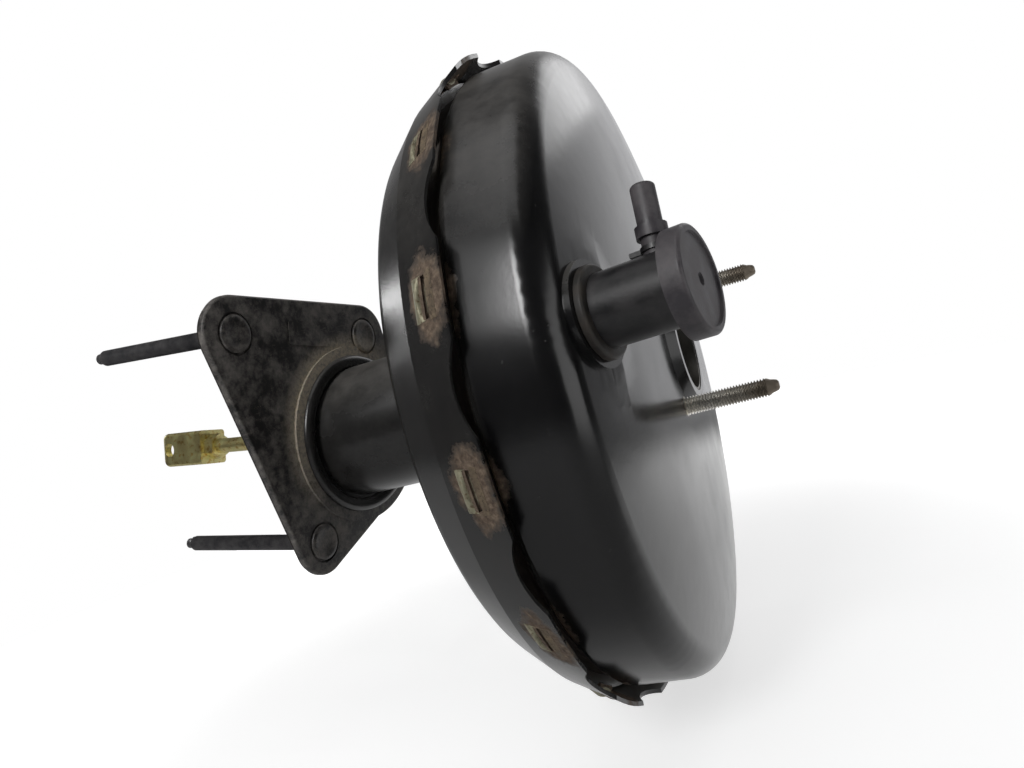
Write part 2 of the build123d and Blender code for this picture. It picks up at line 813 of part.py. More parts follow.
output_tip_x = seat_x - output_tip_drop
screw_start_x = output_tip_x - 30
with BuildPart() as output_rod:
    revolve(
        outline(
            (disc_x + 0.3, disc_radius + 0.1),
            (disc_x + 0.3, cup_radius - running_gap - 0.1),
            (nose_x - 1, cup_radius - running_gap - 0.1),
            (nose_x - 1, output_rod_radius + 2, 1.5),
            (nose_x + 6, output_rod_radius),
            (output_tip_x - 9, output_rod_radius),
            (output_tip_x - 9, output_screw_radius),
            (screw_start_x, output_screw_radius),
            (screw_start_x, 0),
            (disc_x + disc_thickness + seat_gap, 0),
            (disc_x + disc_thickness + seat_gap, disc_radius + 0.1),
        ),
        axis=Axis.X,
    )

with BuildPart() as output_rod_screw:
    revolve(
        outline(
            (screw_start_x + 4, 0),
            (screw_start_x + 4, output_screw_radius - seat_gap),
            (output_tip_x - 6, output_screw_radius - seat_gap),
            (output_tip_x, output_screw_radius - seat_gap, 3),
            (output_tip_x, 0),
        ),
        axis=Axis.X,
    )
    with BuildSketch(Plane.YZ.offset(output_tip_x - 9 + seat_gap)):
        RegularPolygon(5.5, 6, major_radius=False)
    extrude(amount=4)

with BuildPart() as output_rod_retainer:
    revolve(
        outline(
            (flange_front_x + 4, nose_radius + seat_gap),
            (nose_x + seat_gap, nose_radius + seat_gap),
            (nose_x + seat_gap, 11),
            (nose_x + seat_gap + 0.9, 11),
            (nose_x + seat_gap + 0.9, nose_radius + 1, 0.8),
            (flange_front_x + 4, nose_radius + 1),
        ),
        axis=Axis.X,
    )

return_start_x = flange_front_x + 2 * seat_gap + plate_sheet
return_end_x = stud_plate_x - stud_plate_thickness - 2 * seat_gap
with BuildPart() as return_spring:
    length = return_end_x - return_start_x
    add(Pos(return_start_x, 0, 0) * coil(*return_radii, length, return_turns, return_wire))

# ---------------------------------------------------------------- dust boot round the input rod

boot_lip_x = gasket_thickness + bracket_sheet + sheet + boot_wall / 2 + seat_gap
ridge = hub_radius + boot_ridge
valley = hub_radius + boot_valley
with BuildPart() as boot_form:
    revolve(
        skin(
            boot_wall,
            (boot_lip_x, hub_hole_radius + 1.5),
            (boot_lip_x, hub_hole_radius - boot_wall / 2 - 2 * seat_gap),
            (-3, hub_hole_radius - boot_wall / 2 - 2 * seat_gap),
            (-7, ridge - 0.4),
            (-12, valley),
            (-17, ridge),
            (-22, valley),
            (-27, ridge),
            (-33, valley + 0.6),
            (-37, hub_radius + 4),
            (-40, hub_radius - 3),
            (-43, hub_radius - 1),
            (-46, hub_radius / 2),
            (-49, hub_radius / 2 + 1),
            (-51, rod_radius + boot_wall / 2 + seat_gap),
            (-56, rod_radius + boot_wall / 2 + seat_gap),
        ),
        axis=Axis.X,
    )

with BuildPart() as dust_boot:
    add(Location(Plane(origin=(0, 0, 0), x_dir=bracket_plane.z_dir, z_dir=bracket_plane.y_dir)) * boot_form.part)

# ---------------------------------------------------------------- vacuum port and check valve

port_bore = port_radius - port_wall
port_cap_radius = port_radius + port_cap_overhang
flat_low = port_seat - sheet


def on_port(height):
    """Plane across the port, at a height above its foot."""
    return port.offset(height)


with BuildPart() as port_grommet:
    for start, end, outer in (
        (flat_low - 3, flat_low - 2 * seat_gap, port_radius + grommet_lip),
        (flat_low - 2 * seat_gap, port_seat + 2 * seat_gap, port_radius + grommet_lip - 1.5),
        (port_seat + 2 * seat_gap, port_seat + 3, port_radius + grommet_lip + 0.2),
    ):
        with BuildSketch(on_port(start)):
            Circle(outer)
        extrude(amount=end - start)
    fillet(port_grommet.faces().sort_by(port_axis)[-1].edges(), 1.2)
    with BuildSketch(on_port(flat_low - 4)):
        Circle(port_radius + seat_gap)
    extrude(amount=12, mode=Mode.SUBTRACT)

with BuildPart() as port_body:
    with BuildSketch(on_port(-port_inside)):
        Circle(port_radius)
    extrude(amount=port_inside + port_length)
    with BuildSketch(on_port(flat_low - 5.2)):
        Circle(port_radius + 1.4)
    extrude(amount=2, taper=10)
    with BuildSketch(on_port(-port_inside)):
        Circle(port_bore)
    extrude(amount=port_inside + port_length, mode=Mode.SUBTRACT)
    # ledge that carries the check valve's seat, and the hole for the nipple
    with BuildSketch(on_port(ledge_top)):
        Circle(port_bore)
        Circle(port_bore - ledge_width, mode=Mode.SUBTRACT)
    extrude(amount=-ledge_width)
    nipple_plane = Plane(
        origin=port.from_local_coords((0, 0, nipple_along)), x_dir=port.z_dir, z_dir=port.x_dir
    )
    with BuildSketch(nipple_plane):
        Circle(nipple_radius + seat_gap)
    extrude(amount=20, mode=Mode.SUBTRACT)

with BuildPart() as port_cap:
    with BuildSketch(on_port(port_length + seat_gap)):
        Circle(port_cap_radius)
    extrude(amount=port_cap_thickness)
    fillet(port_cap.faces().sort_by(port_axis)[-1].edges(), port_cap_edge)
    # raised rim, dished middle with a dimple, and the spigot that plugs the body
    with BuildSketch(on_port(port_length + port_cap_thickness + seat_gap)):
        Circle(port_cap_radius - 2.6)
    extrude(amount=-0.8, taper=20, mode=Mode.SUBTRACT)
    with BuildSketch(on_port(port_length + port_cap_thickness)):
        Circle(2.6)
    extrude(amount=-1.8, taper=25, mode=Mode.SUBTRACT)
    with BuildSketch(on_port(port_length + 1)):
        Circle(port_bore - seat_gap)
    extrude(amount=-2.5)

with BuildPart() as vacuum_nipple:
    with BuildSketch(nipple_plane.offset(port_bore)):
        Circle(nipple_radius)
    extrude(amount=nipple_length - port_bore)
    fillet(vacuum_nipple.faces().sort_by(Axis(nipple_plane.origin, nipple_plane.z_dir))[-1].edges(), 1.4)
    collar_start, collar_height, nipple_collar_width = nipple_collar
    with BuildSketch(nipple_plane.offset(port_radius + collar_start)):
        Circle(nipple_radius + collar_height)
    extrude(amount=nipple_collar_width)
    with BuildSketch(nipple_plane.offset(port_bore)):
        Circle(nipple_bore)
    extrude(amount=nipple_length, mode=Mode.SUBTRACT)

with BuildPart() as nipple_clip:
    with BuildSketch(nipple_plane.offset(port_radius + 0.6)):
        Circle(nipple_radius + 0.7)
        with Locations((-nipple_radius - 2, 0)):
            Rectangle(5, 3.4)
        Circle(nipple_radius + seat_gap, mode=Mode.SUBTRACT)
    extrude(amount=clip_thickness)

seat_top = ledge_top + valve_seat_thickness
with BuildPart() as check_valve_seat:
    with BuildSketch(on_port(ledge_top + seat_gap)):
        Circle(port_bore - seat_gap)
        with PolarLocations(4.6, 6):
            Circle(1.5, mode=Mode.SUBTRACT)
        Circle(1.6, mode=Mode.SUBTRACT)
    extrude(amount=valve_seat_thickness)

with BuildPart() as check_valve_disc:
    with BuildSketch(on_port(seat_top + 0.1)):
        Circle(7.5)
    extrude(amount=1.4)
    with BuildSketch(on_port(seat_top - 3)):
        Circle(1.5)
    extrude(amount=3.2)

with BuildPart() as check_valve_spring:
    spring_low = seat_top + 1.6
    length = port_length - 1.5 - 0.1 - spring_low
    add(Location(port) * Location((0, 0, spring_low), (0, -90, 0)) * coil(5.5, 5.5, length, 4, valve_wire))

# ---------------------------------------------------------------- export

pieces = {
    "front_shell": front_shell,
    "rear_shell": rear_shell,
    "bulkhead_bracket": bulkhead_bracket,
    "bracket_gasket": bracket_gasket,
    "bulkhead_studs": bulkhead_studs,
    "stud_plate": stud_plate,
    "master_cylinder_studs": master_cylinder_studs,
    "hub_bearing": hub_bearing,
    "hub_seal": hub_seal,
    "seal_retainer": seal_retainer,
    "valve_body": valve_body,
    "plunger_key": plunger_key,
    "valve_plunger": valve_plunger,
    "poppet_seal": poppet_seal,
    "poppet_spring": poppet_spring,
    "poppet_retainer": poppet_retainer,
    "input_rod": input_rod,
    "rod_return_spring": rod_return_spring,
    "clevis_nut": clevis_nut,
    "clevis": clevis,
    "air_filter": air_filter,
    "filter_silencer": filter_silencer,
    "filter_retainer": filter_retainer,
    "diaphragm": diaphragm,
    "diaphragm_plate": diaphragm_plate,
    "reaction_disc": reaction_disc,
    "output_rod": output_rod,
    "output_rod_screw": output_rod_screw,
    "output_rod_retainer": output_rod_retainer,
    "return_spring": return_spring,
    "dust_boot": dust_boot,
    "port_grommet": port_grommet,
    "port_body": port_body,
    "port_cap": port_cap,
    "vacuum_nipple": vacuum_nipple,
    "nipple_clip": nipple_clip,
    "check_valve_seat": check_valve_seat,
    "check_valve_disc": check_valve_disc,
    "check_valve_spring": check_valve_spring,
}
for name, piece in pieces.items():
    piece.part.label = name
    export_step(piece.part, f"parts/{name}.step")
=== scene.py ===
# %% [markdown]
# # A vacuum brake booster
#
# A brake booster is a steel drum that uses engine vacuum to push on the master cylinder. Two pressed
# shells are locked at the rim, a neck carries a slanted three-stud bracket, a rod with a clevis comes
# out of the back, and a capped port takes the vacuum hose.
#
# The rigid shapes come packed from CAD. This script gives each of them its finish, and builds in mesh
# what CAD leaves plain: rolled threads and stud tips, the rolled lip round the neck's foot, the folds of
# the rubber boot, the diaphragm, the wound springs, the drawn curve of the dome, and the dimples that a
# punch leaves at the rim.

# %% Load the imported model
import json
import math

import bmesh
import bpy
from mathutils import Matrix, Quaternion, Vector


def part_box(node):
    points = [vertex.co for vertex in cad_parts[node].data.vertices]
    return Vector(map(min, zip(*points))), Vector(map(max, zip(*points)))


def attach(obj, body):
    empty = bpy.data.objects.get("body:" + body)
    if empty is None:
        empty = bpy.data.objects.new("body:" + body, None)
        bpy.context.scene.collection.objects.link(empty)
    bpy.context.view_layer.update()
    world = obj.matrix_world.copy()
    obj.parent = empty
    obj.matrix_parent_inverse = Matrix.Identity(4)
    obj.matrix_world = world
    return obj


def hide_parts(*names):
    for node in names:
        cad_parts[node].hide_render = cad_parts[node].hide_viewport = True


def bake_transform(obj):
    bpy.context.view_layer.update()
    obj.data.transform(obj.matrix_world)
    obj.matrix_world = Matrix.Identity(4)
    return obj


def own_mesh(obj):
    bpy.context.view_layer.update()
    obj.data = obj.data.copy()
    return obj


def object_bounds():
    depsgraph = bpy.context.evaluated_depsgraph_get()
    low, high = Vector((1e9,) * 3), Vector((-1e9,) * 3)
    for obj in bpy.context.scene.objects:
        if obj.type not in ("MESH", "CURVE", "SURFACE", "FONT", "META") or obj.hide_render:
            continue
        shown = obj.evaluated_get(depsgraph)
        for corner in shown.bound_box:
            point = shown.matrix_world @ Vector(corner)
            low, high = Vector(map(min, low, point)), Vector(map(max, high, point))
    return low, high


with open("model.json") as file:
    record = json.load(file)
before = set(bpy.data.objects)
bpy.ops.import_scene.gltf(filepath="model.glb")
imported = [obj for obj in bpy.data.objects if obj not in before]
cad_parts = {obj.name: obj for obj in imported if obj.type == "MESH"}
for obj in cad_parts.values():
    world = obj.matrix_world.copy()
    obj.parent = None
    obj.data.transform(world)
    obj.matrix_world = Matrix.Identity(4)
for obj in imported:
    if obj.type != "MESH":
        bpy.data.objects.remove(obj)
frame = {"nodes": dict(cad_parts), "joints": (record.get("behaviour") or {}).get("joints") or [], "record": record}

nodes = frame["nodes"]
cad_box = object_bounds()
mm = 0.001  # everything in Blender is in metres
print(f"loaded {len(nodes)} pieces, box {[round(v, 3) for corner in cad_box for v in corner]}")

# %% [markdown]
# ## The camera
#
# A camera held by hand has three angles: where it looks, how far up or down, and how far it is rolled.
# Blender can turn "look along this line" into a rotation with to_track_quat, and the roll is then one
# more turn about the line of sight. That keeps each angle readable.

# %% Camera
camera_place = Vector((0.2407, -0.3885, 0.0300))
look_azimuth = math.radians(-20.52)  # from +Y, clockwise seen from above
look_elevation = math.radians(-3.69)
camera_roll = math.radians(-16.39)
line_of_sight = Vector(
    (
        math.sin(look_azimuth) * math.cos(look_elevation),
        math.cos(look_azimuth) * math.cos(look_elevation),
        math.sin(look_elevation),
    )
)
camera = bpy.data.objects.new("camera", bpy.data.cameras.new("camera"))
camera.data.sensor_width = 36.0
camera.data.lens = 29.74
camera.data.clip_start = 0.01
camera.data.clip_end = 60
camera.rotation_mode = "QUATERNION"
camera.location = camera_place
camera.rotation_quaternion = line_of_sight.to_track_quat("-Z", "Y") @ Quaternion((0, 0, 1), camera_roll)
bpy.context.scene.collection.objects.link(camera)
bpy.context.scene.camera = camera
bpy.context.scene.view_settings.view_transform = "Standard"
print("camera looks along", [round(v, 3) for v in line_of_sight])

# %% [markdown]
# ## Colours and nodes
#
# Colours are easiest to judge as sRGB hex values, but Blender's sockets hold linear light, so one function
# converts them. One more function adds a shader node, sets its options and fills its inputs, either with
# a number or with a link from another node. Every material below is built from these.


# %% Helpers for materials
def linear(hex_colour):
    """An sRGB hex colour as the linear RGBA that Blender's sockets hold."""
    parts = [int(hex_colour[i : i + 2], 16) / 255 for i in (1, 3, 5)]
    return (*[c / 12.92 if c <= 0.04045 else ((c + 0.055) / 1.055) ** 2.4 for c in parts], 1.0)


def feed(node, inputs):
    """Fills inputs of a node: a hex colour or a number is set, and a socket or another node is linked."""
    for name, value in inputs.items():
        if isinstance(value, bpy.types.Node):
            value = next(socket for socket in value.outputs if socket.enabled)
        if isinstance(value, bpy.types.NodeSocket):
            node.id_data.links.new(value, node.inputs[name])
        else:
            node.inputs[name].default_value = linear(value) if isinstance(value, str) else value


def add(tree, kind, inputs=None, stops=(), **settings):
    """Adds a node of that kind, sets its options and colour stops, and feeds its inputs."""
    made = tree.nodes.new("ShaderNode" + kind)
    for name, value in settings.items():
        setattr(made, name, value)
    for index, (position, shade) in enumerate(stops):
        ramp = made.color_ramp.elements
        stop = ramp[index] if index < len(ramp) else ramp.new(position)
        stop.position, stop.color = position, linear(shade)
    feed(made, inputs or {})
    return made


def finish(name, plain):
    """A new material with plain values on its shader. Returns the material, its tree and its shader."""
    made = bpy.data.materials.new(name)
    made.use_nodes = True
    shader = made.node_tree.nodes["Principled BSDF"]
    feed(shader, plain)
    return made, made.node_tree, shader


print("black enamel is about", [round(c, 4) for c in linear("#141415")[:3]])

# %% [markdown]
# ## Lamps
#
# Glossy black shows its form only by what it reflects, so each lamp is there for one reflection. A soft box
# high on the near side draws the narrow pale streak down the shoulder of the drum, and a weak umbrella
# beside it lets that streak fade out. A small window on the left makes the glint on the flank, and one at
# the back gives the far top edge its sheen. A broad front fill opens up the domed face, and a large panel
# overhead lifts every upper edge.

# %% Lamps
middle = Vector((0.09, 0.0, 0.0))  # of the drum, which every lamp faces


def soft_lamp(name, azimuth, elevation, distance, size, watts):
    """A rectangular lamp that faces the object. Its azimuth runs from +X towards +Y."""
    turn, rise = math.radians(azimuth), math.radians(elevation)
    towards = Vector((math.cos(turn) * math.cos(rise), math.sin(turn) * math.cos(rise), math.sin(rise)))
    lamp = bpy.data.objects.new(name, bpy.data.lights.new(name, "AREA"))
    lamp.data.shape = "RECTANGLE"
    lamp.data.size, lamp.data.size_y = size
    lamp.data.energy = watts
    lamp.location = middle + towards * distance
    lamp.rotation_mode = "QUATERNION"
    lamp.rotation_quaternion = (-towards).to_track_quat("-Z", "Y")
    bpy.context.scene.collection.objects.link(lamp)
    return lamp


lamps = [
    soft_lamp("soft_box", -99, 34, 1.3, (0.24, 0.52), 6.6),
    soft_lamp("umbrella", -122, 38, 1.4, (0.7, 0.6), 1.4),
    soft_lamp("side_window", 161, 15, 1.4, (0.18, 0.28), 1.6),
    soft_lamp("back_window", 66, 30, 1.6, (0.7, 0.6), 1.9),
    soft_lamp("front_fill", -15, 4, 1.6, (1.2, 1.0), 6.0),
    soft_lamp("ceiling", -90, 78, 2.2, (1.6, 1.6), 9),
]
print("lamps at", {lamp.name: [round(v, 2) for v in lamp.location] for lamp in lamps})

# %% [markdown]
# ## World
#
# Where no lamp stands, the enamel mirrors the world. It is pale straight behind the drum and dim everywhere
# else, which keeps the black deep. The camera itself sees white paper instead: Light Path's Is Camera Ray
# chooses between the two.

# %% World
side_share, behind_share = 0.62, 0.99  # of a ray's direction along +Y, where the pale part begins and is full
dim_strength, pale_strength = 0.07, 0.95
world = bpy.data.worlds.new("studio")
world.use_nodes = True
bpy.context.scene.world = world
sky = world.node_tree
sky.nodes.clear()
across = add(sky, "SeparateXYZ", {"Vector": add(sky, "TexCoord").outputs["Generated"]})
behind = add(
    sky,
    "MapRange",
    {
        "Value": across.outputs["Y"],
        "From Min": side_share,
        "From Max": behind_share,
        "To Min": dim_strength,
        "To Max": pale_strength,
    },
    interpolation_type="SMOOTHSTEP",
)
room = add(sky, "Background", {"Color": "#fdfdff", "Strength": behind})
paper = add(sky, "Background", {"Color": "#ffffff", "Strength": 1.0})
seen = add(sky, "LightPath").outputs["Is Camera Ray"]
add(sky, "OutputWorld", {"Surface": add(sky, "MixShader", {0: seen, 1: room, 2: paper})})
print("the world is", pale_strength, "behind and", dim_strength, "elsewhere")

# %% [markdown]
# ## Table
#
# The table is a round of white laminate that takes a soft shadow. The camera sees it fade to white some way
# out, so that no horizon shows, and the enamel mirrors the same white on the far side. Both come from an
# emission that only camera rays meet, and glossy rays within a circle behind the drum.

# %% Table
table_radius, table_z = 0.8, cad_box[0][2]
shade_reach, white_from, near_glow = 0.2, 0.5, 0.66  # the glow grows from near_glow to 1 between these radii
mirror_place, mirror_full, mirror_none = (0.2, 0.24, table_z), 0.24, 0.38  # the circle behind the drum
rim = [2 * math.pi * step / 96 for step in range(96)]
table_mesh = bpy.data.meshes.new("table")
corners = [(middle.x + table_radius * math.cos(a), table_radius * math.sin(a), table_z) for a in rim]
table_mesh.from_pydata(corners, [], [list(range(len(corners)))])
table = bpy.data.objects.new("table", table_mesh)
bpy.context.scene.collection.objects.link(table)
laminate, tree, shader = finish("white_laminate_table", {"Base Color": "#bdbdbd", "Roughness": 0.6})
place = add(tree, "NewGeometry").outputs["Position"]
away = add(tree, "VectorMath", {0: place, 1: (middle.x, 0.0, table_z)}, operation="DISTANCE")
lift = add(
    tree,
    "MapRange",
    {"Value": away, "From Min": shade_reach, "From Max": white_from, "To Min": near_glow, "To Max": 1.0},
    interpolation_type="SMOOTHSTEP",
)
off_place = add(tree, "VectorMath", {0: place, 1: mirror_place}, operation="DISTANCE")
far_side = add(tree, "MapRange", {"Value": off_place, "From Min": mirror_none, "From Max": mirror_full})
path = add(tree, "LightPath")
mirrored = add(tree, "Math", {0: path.outputs["Is Glossy Ray"], 1: far_side}, operation="MULTIPLY")
shown = add(tree, "Math", {0: path.outputs["Is Camera Ray"], 1: mirrored}, operation="MAXIMUM")
glow = add(tree, "Emission", {"Color": "#ffffff", "Strength": lift})
lifted = add(tree, "AddShader", {0: shader, 1: glow})
feed(tree.nodes["Material Output"], {"Surface": add(tree, "MixShader", {0: shown, 1: shader, 2: lifted})})
table_mesh.materials.append(laminate)
print("table top at", round(table_z, 4))

# %% [markdown]
# ## Black enamel
#
# Both shells are pressed steel with a dipped and baked black enamel: a thin glossy coat with a slight
# orange peel. To the eye it is nearly black, with soft mirror images of the lamps.
#
# At each lance round the rim the enamel is cut through, and the bare steel has rusted there in a ragged
# brown patch. The material has to know where the lances are, so it turns the object's coordinates into an
# angle round the axis and a distance along it, and measures how far the nearest lance is.

# %% Where the lances are
lance_count, first_lance = 14, 135.3
bend_x, bend_radius, band_slope = 115 * mm, 140 * mm, 0.5  # the rim band widens forwards from its bend
tongue_root, slit_rear, slit_front = 123.4 * mm, 125.5 * mm, 127.5 * mm
lance_angles = [math.radians(first_lance + 360 / lance_count * index) for index in range(lance_count)]
print("lances every", round(360 / lance_count, 1), "degrees")

# %% Distance from the nearest lance
patch_along_rim, patch_along_axis, patch_x = 15.5 * mm, 8.5 * mm, 127.5 * mm  # half sizes, and the middle
enamel, tree, shader = finish("baked_black_enamel", {"IOR": 1.5})
place = add(tree, "TexCoord").outputs["Object"]
xyz = add(tree, "SeparateXYZ", {"Vector": place})
angle = add(tree, "Math", {0: xyz.outputs["Z"], 1: xyz.outputs["Y"]}, operation="ARCTAN2")
from_first = add(tree, "Math", {0: angle, 1: lance_angles[0]}, operation="SUBTRACT")
pitches = add(tree, "Math", {0: from_first, 1: lance_count / (2 * math.pi)}, operation="MULTIPLY")
nearest = add(tree, "Math", {0: pitches}, operation="ROUND")
off_lance = add(tree, "Math", {0: pitches, 1: nearest}, operation="SUBTRACT")
rim_span = 2 * math.pi * bend_radius / lance_count / patch_along_rim
along_rim = add(tree, "Math", {0: off_lance, 1: rim_span}, operation="MULTIPLY")
off_slit = add(tree, "Math", {0: xyz.outputs["X"], 1: patch_x}, operation="SUBTRACT")
along_axis = add(tree, "Math", {0: off_slit, 1: 1 / patch_along_axis}, operation="MULTIPLY")
oval = add(tree, "CombineXYZ", {"X": along_rim, "Y": along_axis})
from_lance = add(tree, "VectorMath", {0: oval}, operation="LENGTH").outputs["Value"]
cross = add(tree, "CombineXYZ", {"X": xyz.outputs["Y"], "Y": xyz.outputs["Z"]})
from_axis = add(tree, "VectorMath", {0: cross}, operation="LENGTH").outputs["Value"]
print("rust patches are", round(2 * patch_along_rim / mm), "mm long round the rim")

# %% [markdown]
# Rust creeps under enamel in bays and spurs, so a noise with 9 mm features is added to the distance before
# it is cut off. Inside the patch a finer noise runs through three browns. The patches stay on the band:
# a radius just above the bend's keeps them off the shell in front of it.

# %% Rust round each lance
band_radius = 141 * mm
patchy = add(tree, "TexNoise", {"Vector": place, "Scale": 1 / (9 * mm), "Detail": 7.0, "Roughness": 0.7})
uneven = add(tree, "Math", {0: patchy, 1: 1.5, 2: -0.75}, operation="MULTIPLY_ADD")
ragged = add(tree, "Math", {0: from_lance, 1: uneven}, operation="ADD")
on_band = add(tree, "Math", {0: from_axis, 1: band_radius}, operation="GREATER_THAN")
near_lance = add(tree, "MapRange", {"Value": ragged, "From Min": 1.08, "From Max": 0.72})
rusted = add(tree, "Math", {0: near_lance, 1: on_band}, operation="MULTIPLY")
speckle = add(tree, "TexNoise", {"Vector": place, "Scale": 1 / (2.2 * mm), "Detail": 5.0, "Roughness": 0.7})
browns = [(0.3, "#43372c"), (0.5, "#66574a"), (0.68, "#8a7966")]
rust = add(tree, "ValToRGB", {"Fac": speckle}, browns)
print("rust runs through", [shade for position, shade in browns])

# %% [markdown]
# The deep groove in front of the band never gets wiped, and holds a grey-brown dust. Whatever faces up
# is paled, partly by a finer dust and partly as painted light from above, and a thin film of dust clouds
# the rear half, which hands have touched. On the front shoulder, flying grit has left a few pale specks.

# %% Dust, painted top light and specks on the enamel
groove_edge, groove_floor = 141 * mm, 138.5 * mm  # radii between which the dust begins
groove_front, groove_back = (134 * mm, 131 * mm), (119 * mm, 121 * mm)
haze = add(tree, "TexNoise", {"Vector": place, "Scale": 1 / (45 * mm), "Detail": 4.0, "Roughness": 0.6})
film = add(tree, "ValToRGB", {"Fac": haze}, [(0.35, "#080809"), (0.75, "#131314")])
groove = add(tree, "MapRange", {"Value": from_axis, "From Min": groove_edge, "From Max": groove_floor})
for limits in (groove_front, groove_back):
    within = {"Value": xyz.outputs["X"], "From Min": limits[0], "From Max": limits[1]}
    groove = add(tree, "Math", {0: groove, 1: add(tree, "MapRange", within)}, operation="MULTIPLY")
groove = add(tree, "Math", {0: groove, 1: patchy}, operation="MULTIPLY")
coat = add(tree, "Mix", {0: groove, 6: film, 7: "#5a5148"}, data_type="RGBA")

facing_up = add(tree, "SeparateXYZ", {"Vector": add(tree, "NewGeometry").outputs["Normal"]}).outputs["Z"]
# painted light: faces that point up are paled towards #7b7874, partly as dust and partly as light from above
dust_and_top_light = add(tree, "MapRange", {"Value": facing_up, "From Min": 0.35, "From Max": 1.0, "To Max": 0.7})
cloud = add(tree, "TexNoise", {"Vector": place, "Scale": 1 / (12 * mm), "Detail": 8.0, "Roughness": 0.75})
thin = add(tree, "MapRange", {"Value": cloud, "From Min": 0.3, "From Max": 0.75, "To Min": 0.25})
dust_and_top_light = add(tree, "Math", {0: dust_and_top_light, 1: thin}, operation="MULTIPLY")
rear_half = {"Value": xyz.outputs["X"], "From Min": 136 * mm, "From Max": 133 * mm, "To Max": 0.16}
handled = add(tree, "Math", {0: add(tree, "MapRange", rear_half), 1: cloud}, operation="MULTIPLY")
dust_and_top_light = add(tree, "Math", {0: dust_and_top_light, 1: handled}, operation="ADD", use_clamp=True)
coat = add(tree, "Mix", {0: dust_and_top_light, 6: coat, 7: "#7b7874"}, data_type="RGBA")

chips = add(tree, "TexNoise", {"Vector": place, "Scale": 1 / (3.2 * mm), "Detail": 4.0, "Roughness": 0.75})
chips = add(tree, "MapRange", {"Value": chips, "From Min": 0.69, "From Max": 0.74, "To Max": 0.5})
on_shoulder = {"Value": from_axis, "From Min": 128 * mm, "From Max": 134 * mm}
ahead = {"Value": xyz.outputs["X"], "From Min": 140 * mm, "From Max": 160 * mm}
for where in (on_shoulder, ahead):
    chips = add(tree, "Math", {0: chips, 1: add(tree, "MapRange", where)}, operation="MULTIPLY")
coat = add(tree, "Mix", {0: chips, 6: coat, 7: "#8b8986"}, data_type="RGBA")
print("dust fills the groove from x", round(groove_back[0], 3), "to", round(groove_front[0], 3))

# %% [markdown]
# Rust and dust take the gloss away. The rest keeps a roughness between 0.16 and 0.26, with the orange peel
# as a very low bump, and the rust is a deeper one.

# %% Gloss and relief of the enamel
feed(shader, {"Base Color": add(tree, "Mix", {0: rusted, 6: coat, 7: rust}, data_type="RGBA")})
dulled = {"Value": haze, "From Min": 0.3, "From Max": 0.7, "To Min": 0.16, "To Max": 0.26}
matt = add(tree, "Math", {0: rusted, 1: groove}, operation="MAXIMUM")
soft_dust_and_top_light = add(tree, "Math", {0: dust_and_top_light, 1: 0.6}, operation="MULTIPLY")
matt = add(tree, "Math", {0: matt, 1: soft_dust_and_top_light}, operation="MAXIMUM")
feed(shader, {"Roughness": add(tree, "Mix", {0: matt, 2: add(tree, "MapRange", dulled), 3: 0.85})})
peel = add(tree, "TexNoise", {"Vector": place, "Scale": 1 / (1.6 * mm), "Detail": 2.0})
ruffled = add(tree, "Mix", {0: rusted, 2: peel, 3: speckle})
depth = add(tree, "MapRange", {"Value": rusted, "To Min": 0.03, "To Max": 0.5})
feed(shader, {"Normal": add(tree, "Bump", {"Height": ruffled, "Strength": depth, "Distance": 0.5 * mm})})
print("enamel:", len(tree.nodes), "nodes")

# %% [markdown]
# ## Road dust on the bracket
#
# The bracket is the same black finish, but it faces the engine bay and has never been wiped. Dust makes it
# grey-brown and matt, in clouds with pale specks. It packs in crumbs against the neck's foot, most on the
# upper side, where it falls: that is a ring at a distance from the neck's axis, which fades on one side.

# %% Distance from the neck, on the bracket
mounts = {mount["name"]: mount for mount in frame["record"]["mounts"]}
rearward = Vector(mounts["bulkhead_stud_upper_near"]["axis"])  # square to the bracket, away from the shells
bracket_paint, tree, shader = finish("dusty_black_paint", {"IOR": 1.5})
place = add(tree, "TexCoord").outputs["Object"]
along = add(tree, "VectorMath", {0: place, 1: rearward}, operation="DOT_PRODUCT").outputs["Value"]
axial = add(tree, "VectorMath", {0: rearward, "Scale": along}, operation="SCALE")
flat = add(tree, "VectorMath", {0: place, 1: axial}, operation="SUBTRACT")
from_neck = add(tree, "VectorMath", {0: flat}, operation="LENGTH").outputs["Value"]
outwards = add(tree, "VectorMath", {0: flat}, operation="NORMALIZE")
print("bracket faces", [round(v, 3) for v in rearward])

# %% Dust packed round the neck's foot
dust_edge, dust_full = 55 * mm, 44 * mm  # from the neck's axis
dusty_side = (0.0, -0.55, 0.83)
packed = add(
    tree,
    "MapRange",
    {"Value": from_neck, "From Min": dust_edge, "From Max": dust_full, "To Max": 0.8},
    interpolation_type="SMOOTHSTEP",
)
upper_side = add(tree, "VectorMath", {0: outwards, 1: dusty_side}, operation="DOT_PRODUCT").outputs["Value"]
upper_side = add(tree, "MapRange", {"Value": upper_side, "From Min": -0.1, "From Max": 0.9, "To Max": 1.5})
packed = add(tree, "Math", {0: packed, 1: upper_side}, operation="MULTIPLY")
specks = add(tree, "TexNoise", {"Vector": place, "Scale": 1 / (1.8 * mm), "Detail": 3.0, "Roughness": 0.8})
crumbs = {"Value": specks, "From Min": 0.38, "From Max": 0.6, "To Min": 0.35, "To Max": 1.0}
packed = add(tree, "Math", {0: packed, 1: add(tree, "MapRange", crumbs)}, operation="MULTIPLY")
print("dust is packed within", round(dust_edge / mm), "mm of the neck's axis")
